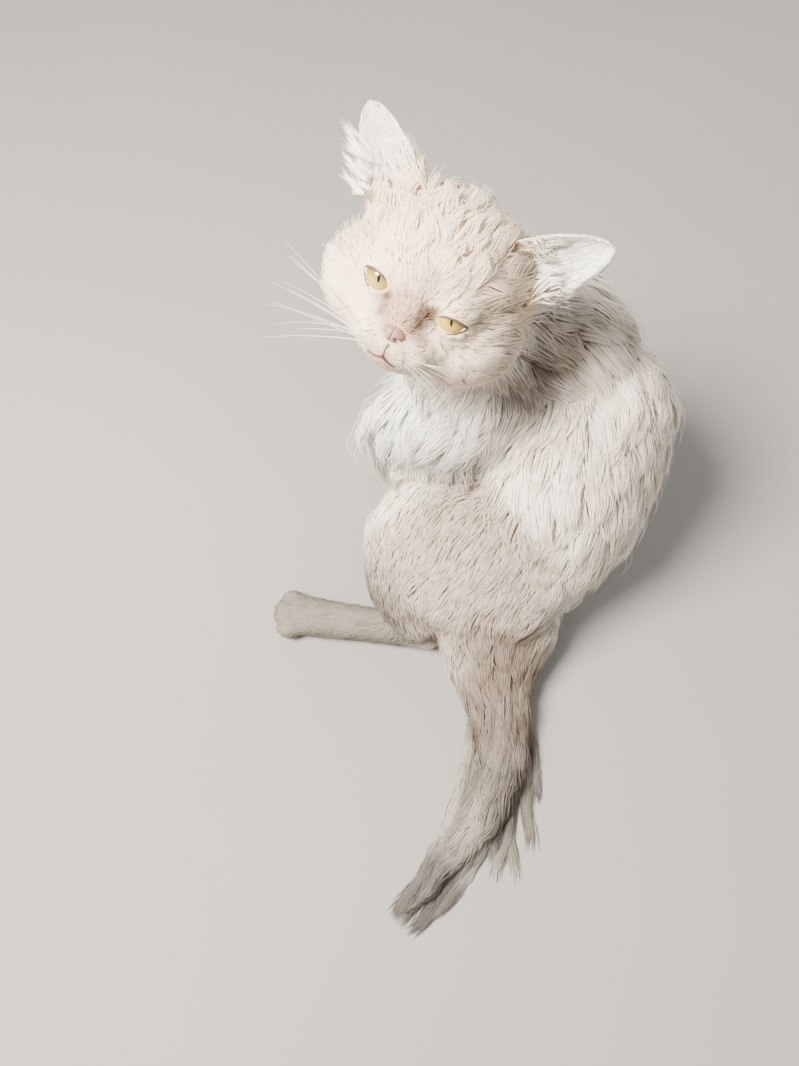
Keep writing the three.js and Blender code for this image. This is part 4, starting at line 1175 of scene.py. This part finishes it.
def skin_grain_group():
    """Fine grain of bare skin and horn: a tint to shade a colour with, and a height."""
    tree = bpy.data.node_groups.new("SkinGrain", "ShaderNodeTree")
    tree.interface.new_socket("Tint", in_out="OUTPUT", socket_type="NodeSocketFloat")
    tree.interface.new_socket("Height", in_out="OUTPUT", socket_type="NodeSocketFloat")
    grain = noise(tree, add_node(tree, "ShaderNodeTexCoord").outputs["Object"], 1400.0, 3.0).outputs["Fac"]
    tint = mapped(tree, grain, 0.0, 1.0, 0.8, 1.15)
    add_node(tree, "NodeGroupOutput", {"Tint": tint, "Height": grain})
    return tree


SKIN_GRAIN = skin_grain_group()


def bare_skin_material(name, colour, roughness=0.45):
    material, tree, shader = new_material(name, roughness, 0.5)
    grain = add_node(tree, "ShaderNodeGroup", node_tree=SKIN_GRAIN)
    tree.links.new(scaled(tree, colour, grain.outputs["Tint"]), shader.inputs["Base Color"])
    roughen(tree, shader, grain.outputs["Height"], 0.5, 0.0003)
    return material


LID_SKIN = bare_skin_material("lid_rim", (0.12, 0.07, 0.05), 0.35)
LID_LIFT = 0.45
LID_RIM = 0.6
MORE_ABOVE = 0.35
round_eye = np.linspace(0, 2 * math.pi, 64, endpoint=False)
lid_lines = []
for side in (1, -1):
    rim = []
    for angle in round_eye:
        x, y = math.cos(angle), math.sin(angle)
        height = EYE_HEIGHT[side][0 if y > 0 else 1]
        y = y * height * (1 - EYE_NARROWING * x**2) + side * x * EYE_SLANT
        place = np.array([side * EYE_OUTWARD + x * EYE_WIDTH / 2, y, 0])
        place[2] = math.sqrt(max((EYE_RADIUS + LID_LIFT) ** 2 - place[0] ** 2 - place[1] ** 2, 1))
        rim.append(place + (side * EYE_SIDE, EYE_UP, EYE_FORWARD))
    upper = np.clip(np.sin(round_eye) * 1.5 + 0.3, 0, 1)
    lid_lines.append((in_head(rim), LID_RIM + MORE_ABOVE * upper, True))
tube("lid_rims", lid_lines, LID_SKIN)

# The nose: a small pink-tan pad of moist leather, wider above, with two comma-shaped nostrils.
# It is one bare cushion between the pads of the muzzle, split by a fine groove down its middle.
NOSE_MIDDLE = (0.0, -16.0, 43.0)
NOSE_HALF = (7.0, 4.5, 4.6)
NOSTRIL_MIDDLE = (3.3, -0.9)
NOSTRIL_HALF = np.array([1.9, 1.1])
NOSTRIL_DEPTH = 2.6
GROOVE_DEPTH = 0.7
nose_bm = bmesh.new()
bmesh.ops.create_icosphere(nose_bm, subdivisions=6, radius=1)
shape = np.array([vert.co[:] for vert in nose_bm.verts])
narrowing = 0.62 + 0.38 * np.clip((shape[:, 1] + 1) / 1.3, 0, 1)
shape = shape * NOSE_HALF * np.column_stack((narrowing, np.ones(len(shape)), np.ones(len(shape))))
for side in (1, -1):
    off = (shape[:, :2] - np.array([side * NOSTRIL_MIDDLE[0], NOSTRIL_MIDDLE[1]])) / NOSTRIL_HALF
    pit = np.clip(1 - np.hypot(off[:, 0], off[:, 1] + 0.35 * off[:, 0] * side), 0, 1)
    shape[:, 2] -= NOSTRIL_DEPTH * pit**0.7 * (shape[:, 2] > 0)
shape[:, 2] -= GROOVE_DEPTH * np.exp(-(shape[:, 0] / 0.6) ** 2) * (shape[:, 2] > 0)
for vert, place in zip(nose_bm.verts, in_head(shape + np.array(NOSE_MIDDLE)) * MM):
    vert.co = place
nose = new_object(nose_bm, "nose_pad")
smooth_faces(nose)
nose.data.materials.append(bare_skin_material("nose_leather", (0.33, 0.185, 0.14), 0.5))
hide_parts("nose")
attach(nose, "root")


# The mouth: a fine dark line from below the nose, parting to both corners between lip and chin.
# It is closed, so only the bare edges of the lips show, sunk in the short hair of the muzzle.
def on_bare_head(places, sunk=0.0):
    """The places on the head's own surface in line with some places, sunk by a depth."""
    ways_out = unit(np.array(places, float))
    return ways_out * (head_reach(ways_out) - sunk)[:, None]


MOUTH_SKIN = bare_skin_material("mouth_line", (0.12, 0.065, 0.05))
parting = on_line([(0, -20, 45), (0, -28.5, 43.5)], np.linspace(0, 1, 8))
mouth_lines = [(in_head(on_bare_head(parting, 0.4)), np.linspace(0.4, 0.35, 8), False)]
for side in (1, -1):
    corner = [(0, -28.5, 43.5), (side * 3.5, -31, 42), (side * 7, -32.2, 40), (side * 10.5, -32.5, 37)]
    corner = on_bare_head(on_line(corner, np.linspace(0, 1, 14)), np.linspace(0.2, 1.4, 14))
    mouth_lines.append((in_head(corner), np.linspace(0.7, 0.25, 14), False))
tube("mouth", mouth_lines, MOUTH_SKIN)

# The whiskers: long stiff white hairs from the pads of the muzzle, and a few above each eye.
# On each pad they stand in three rows of four, thick at the root and bent down by their own weight.
WHISKER_WHITE = bare_skin_material("whisker", (0.82, 0.79, 0.75), 0.4)
WHISKER_SAG = np.array([0, -0.25, -0.2])
WHISKER_REACH = {1: (16, 30), -1: (42, 70)}
BROW_WHISKER = 20
whisker_rng = np.random.default_rng(5)
whisker_lines = []
for side in (1, -1):
    for row in range(3):
        for k in range(4):
            root = np.array([side * (11 + 2.6 * k), -20.5 - 2.6 * row, 40 - 2.2 * k])
            rise = 0.28 - 0.34 * row + whisker_rng.normal(0, 0.08)
            out = unit(np.array([side * 1.0, rise, -0.1 - 0.12 * k]))
            reach = whisker_rng.uniform(*WHISKER_REACH[side])
            sag = WHISKER_SAG + whisker_rng.normal(0, 0.08, 3)
            shares = np.linspace(0, 1, 9)[:, None]
            line = on_bare_head([root], 1.0) + out * reach * shares + sag * reach * shares**2 * 0.6
            whisker_lines.append((in_head(line), np.linspace(0.28, 0.05, 9), False))
    for k in range(4):
        root = np.array([side * (17 + 3 * k), 15, 34.0])
        out = unit(np.array([side * (0.1 + 0.15 * k), 0.75, 0.6]))
        shares = np.linspace(0, 1, 7)[:, None]
        line = on_bare_head([root], 1.0) + out * BROW_WHISKER * shares + (side * 2, 1, -5) * shares**2
        whisker_lines.append((in_head(line), np.linspace(0.2, 0.05, 7), False))
tube("whiskers", whisker_lines, WHISKER_WHITE, sides=4)

# The claws: small curved horn hooks, one at the end of each toe, mostly sheathed in the paw's hair.
# Each grows from the toe's tip, forward and then down to a point.
CLAW_HORN = bare_skin_material("claw_horn", (0.50, 0.41, 0.35), 0.3)
CLAW_LENGTH = 2.8
CLAW_HOOK = 3.5
claw_lines = []
for end, way, reach in PAWS:
    forward, across = paw_ways(way)
    for place in TOE_PLACES:
        toe = toe_place(end, forward, across, reach, place, 0.5)
        shares = np.linspace(0, 1, 6)[:, None]
        line = toe + UPWARD + forward * CLAW_LENGTH * shares - UPWARD * CLAW_HOOK * shares**2
        claw_lines.append((line, np.linspace(0.8, 0.12, 6), False))
tube("claws", claw_lines, CLAW_HORN)

# The room: a pale painted floor with a faint cloud of tone, and a soft white surround.
# One broad warm light stands high on the left, and a weak one behind.
FLOOR_PALE = (0.31, 0.30, 0.285)
SURROUND_WHITE = (1.0, 0.98, 0.96)
SURROUND_STRENGTH = 0.6
floor_bm = bmesh.new()
bmesh.ops.create_grid(floor_bm, x_segments=1, y_segments=1, size=3.0)
floor = new_object(floor_bm, "floor")
floor_paint, floor_tree, floor_shader = new_material("floor_paint", 0.75, 0.2)
floor_cloud = noise(floor_tree, add_node(floor_tree, "ShaderNodeTexCoord").outputs["Object"], 3.0, 4.0)
floor_tint = mapped(floor_tree, floor_cloud.outputs["Fac"], 0.0, 1.0, 0.94, 1.06)
floor_tree.links.new(scaled(floor_tree, FLOOR_PALE, floor_tint), floor_shader.inputs["Base Color"])
floor.data.materials.append(floor_paint)
surround = bpy.data.worlds.new("surround")
surround.use_nodes = True
background = surround.node_tree.nodes["Background"]
background.inputs["Color"].default_value = (*SURROUND_WHITE, 1)
background.inputs["Strength"].default_value = SURROUND_STRENGTH
bpy.context.scene.world = surround


def soft_light(name, place, aim, size, power, colour=(1, 1, 1)):
    lamp = bpy.data.lights.new(name, "AREA")
    lamp.shape = "DISK"
    lamp.size = size
    lamp.energy = power
    lamp.color = colour
    holder = bpy.data.objects.new(name, lamp)
    holder.location = place
    holder.rotation_euler = (Vector(aim) - Vector(place)).to_track_quat("-Z", "Y").to_euler()
    bpy.context.collection.objects.link(holder)


soft_light("key", (-0.72, -0.12, 1.28), (0, 0, 0.15), 0.6, 97, (1, 0.94, 0.86))
soft_light("back", (0.9, 0.9, 0.9), (0, 0, 0.15), 0.9, 6, (0.97, 0.98, 1))

# The camera stands above the cat and looks steeply down on it, as the photograph's does.
# Its tilt, roll and lens are those that were worked out for the photograph.
CAMERA_DOWN = math.radians(65.2)
CAMERA_ROLL = math.radians(1.47)
PHOTO_HEIGHT = 1066
FOCAL_PIXELS = 800
SENSOR = 36.0
straight_up = Vector((0, math.sin(CAMERA_DOWN), math.cos(CAMERA_DOWN)))
forward_way = Vector((0, math.cos(CAMERA_DOWN), -math.sin(CAMERA_DOWN)))
right_way = math.cos(CAMERA_ROLL) * Vector((1, 0, 0)) - math.sin(CAMERA_ROLL) * straight_up
up_way = math.sin(CAMERA_ROLL) * Vector((1, 0, 0)) + math.cos(CAMERA_ROLL) * straight_up
view = bpy.data.cameras.new("view")
view.sensor_fit = "VERTICAL"
view.sensor_height = SENSOR
view.lens = FOCAL_PIXELS / PHOTO_HEIGHT * SENSOR
view.clip_start = 0.01
camera = bpy.data.objects.new("view", view)
camera.matrix_world = Matrix((
    (right_way.x, up_way.x, -forward_way.x, CAMERA_PLACE[0]),
    (right_way.y, up_way.y, -forward_way.y, CAMERA_PLACE[1]),
    (right_way.z, up_way.z, -forward_way.z, CAMERA_PLACE[2]),
    (0, 0, 0, 1)))
bpy.context.collection.objects.link(camera)
bpy.context.scene.camera = camera
